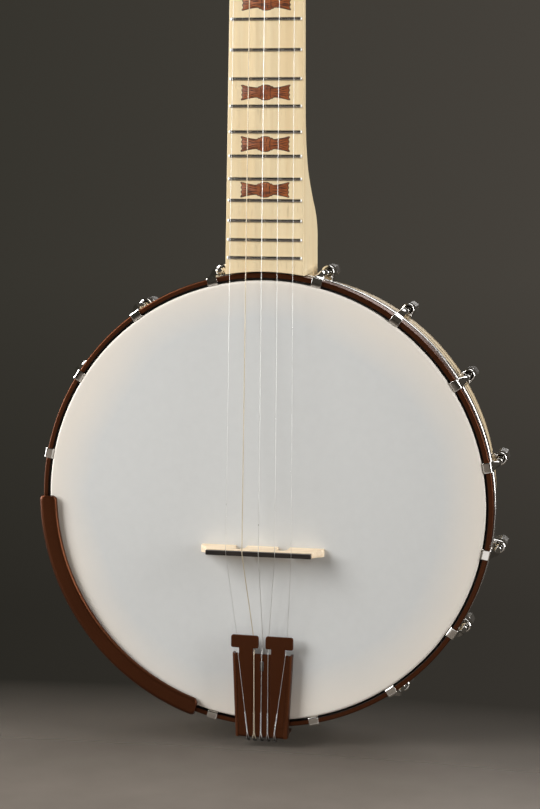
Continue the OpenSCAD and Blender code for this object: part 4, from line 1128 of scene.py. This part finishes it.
def make_floor():
    """A pale floor that fades out towards its edge, so that no horizon cuts the view."""
    mesh = bpy.data.meshes.new("floor")
    bm = bmesh.new()
    bmesh.ops.create_circle(bm, cap_ends=True, segments=96, radius=FLOOR_R)
    bm.to_mesh(mesh)
    bm.free()
    floor = bpy.data.objects.new("floor", mesh)
    floor.location = (0, -1.8, FLOOR_Z)
    scene.collection.objects.link(floor)
    s = Shader("floor_pale", Roughness=0.7)
    x, y, z = s.node("SeparateXYZ", {0: s.node("TexCoord").outputs["Object"]}).outputs
    far = s.radius(x, y)
    grain = s.noise(s.place(), 40, 3, 0.5)
    colour = s.mix(s.span(grain, 0.3, 0.7), srgb(122, 113, 104), srgb(117, 108, 99))
    behind = s.node("NewGeometry").outputs["Backfacing"]
    shown = s.math("MULTIPLY", s.span(far, FADE_FROM, FADE_TO, 1.0, 0.0), s.math("SUBTRACT", 1.0, behind))
    mesh.materials.append(s.out(Base_Color=colour, Alpha=shown))


def make_light(name, at, towards, size, power, colour=(1, 1, 1), tall=None):
    data = bpy.data.lights.new(name, "AREA")
    data.shape = "RECTANGLE"
    data.size, data.size_y = size, tall or size
    data.energy, data.color = power, colour
    light = bpy.data.objects.new(name, data)
    light.location = at
    light.rotation_euler = (Vector(towards) - Vector(at)).to_track_quat("-Z", "Y").to_euler()
    light.visible_camera = False
    scene.collection.objects.link(light)


make_floor()
make_light("key", (-1.35, -1.0, 0.25), (0, 0, -0.55), 0.9, 40, DAYLIGHT, tall=1.3)
make_light("side", (2.2, -0.42, 0.0), (0, 0, -0.4), 0.9, 44, DAYLIGHT, tall=1.6)
make_light("left_edge", (-2.0, 0.12, -0.45), (0, 0, -0.62), 0.7, 26, DAYLIGHT, tall=0.9)
make_light("low", (0.5, -1.7, -1.6), (0, 0, -0.6), 1.6, 5, (1.0, 0.98, 0.96), tall=0.5)
make_light("floor_card", (0.16, -0.42, FLOOR_Z + 0.004), (0.1, -0.2, 0.0), 0.6, 0.4, tall=0.3)
make_light("back", (0.6, 1.7, 0.7), (0, 0, -0.5), 1.2, 18)


def make_world():
    """Dim surroundings, a little brighter towards +x and weaker below."""
    world = bpy.data.worlds.new("studio")
    world.use_nodes = True
    sky = world.node_tree
    towards = sky.nodes.new("ShaderNodeTexCoord")
    split = sky.nodes.new("ShaderNodeSeparateXYZ")
    shade = sky.nodes.new("ShaderNodeValToRGB")
    background = sky.nodes["Background"]
    shade.color_ramp.elements[0].color = srgb(53, 51, 45)
    shade.color_ramp.elements[1].color = srgb(70, 66, 60)

    def spread(axis, low, high, least, socket):
        n = sky.nodes.new("ShaderNodeMapRange")
        n.inputs["From Min"].default_value, n.inputs["From Max"].default_value = low, high
        n.inputs["To Min"].default_value = least
        sky.links.new(split.outputs[axis], n.inputs[0])
        sky.links.new(n.outputs[0], socket)

    sky.links.new(towards.outputs["Generated"], split.inputs[0])
    spread(0, -0.36, -0.06, 0.0, shade.inputs[0])
    spread(2, -0.22, -0.06, 0.6, background.inputs[1])
    sky.links.new(shade.outputs[0], background.inputs[0])
    scene.world = world


make_world()
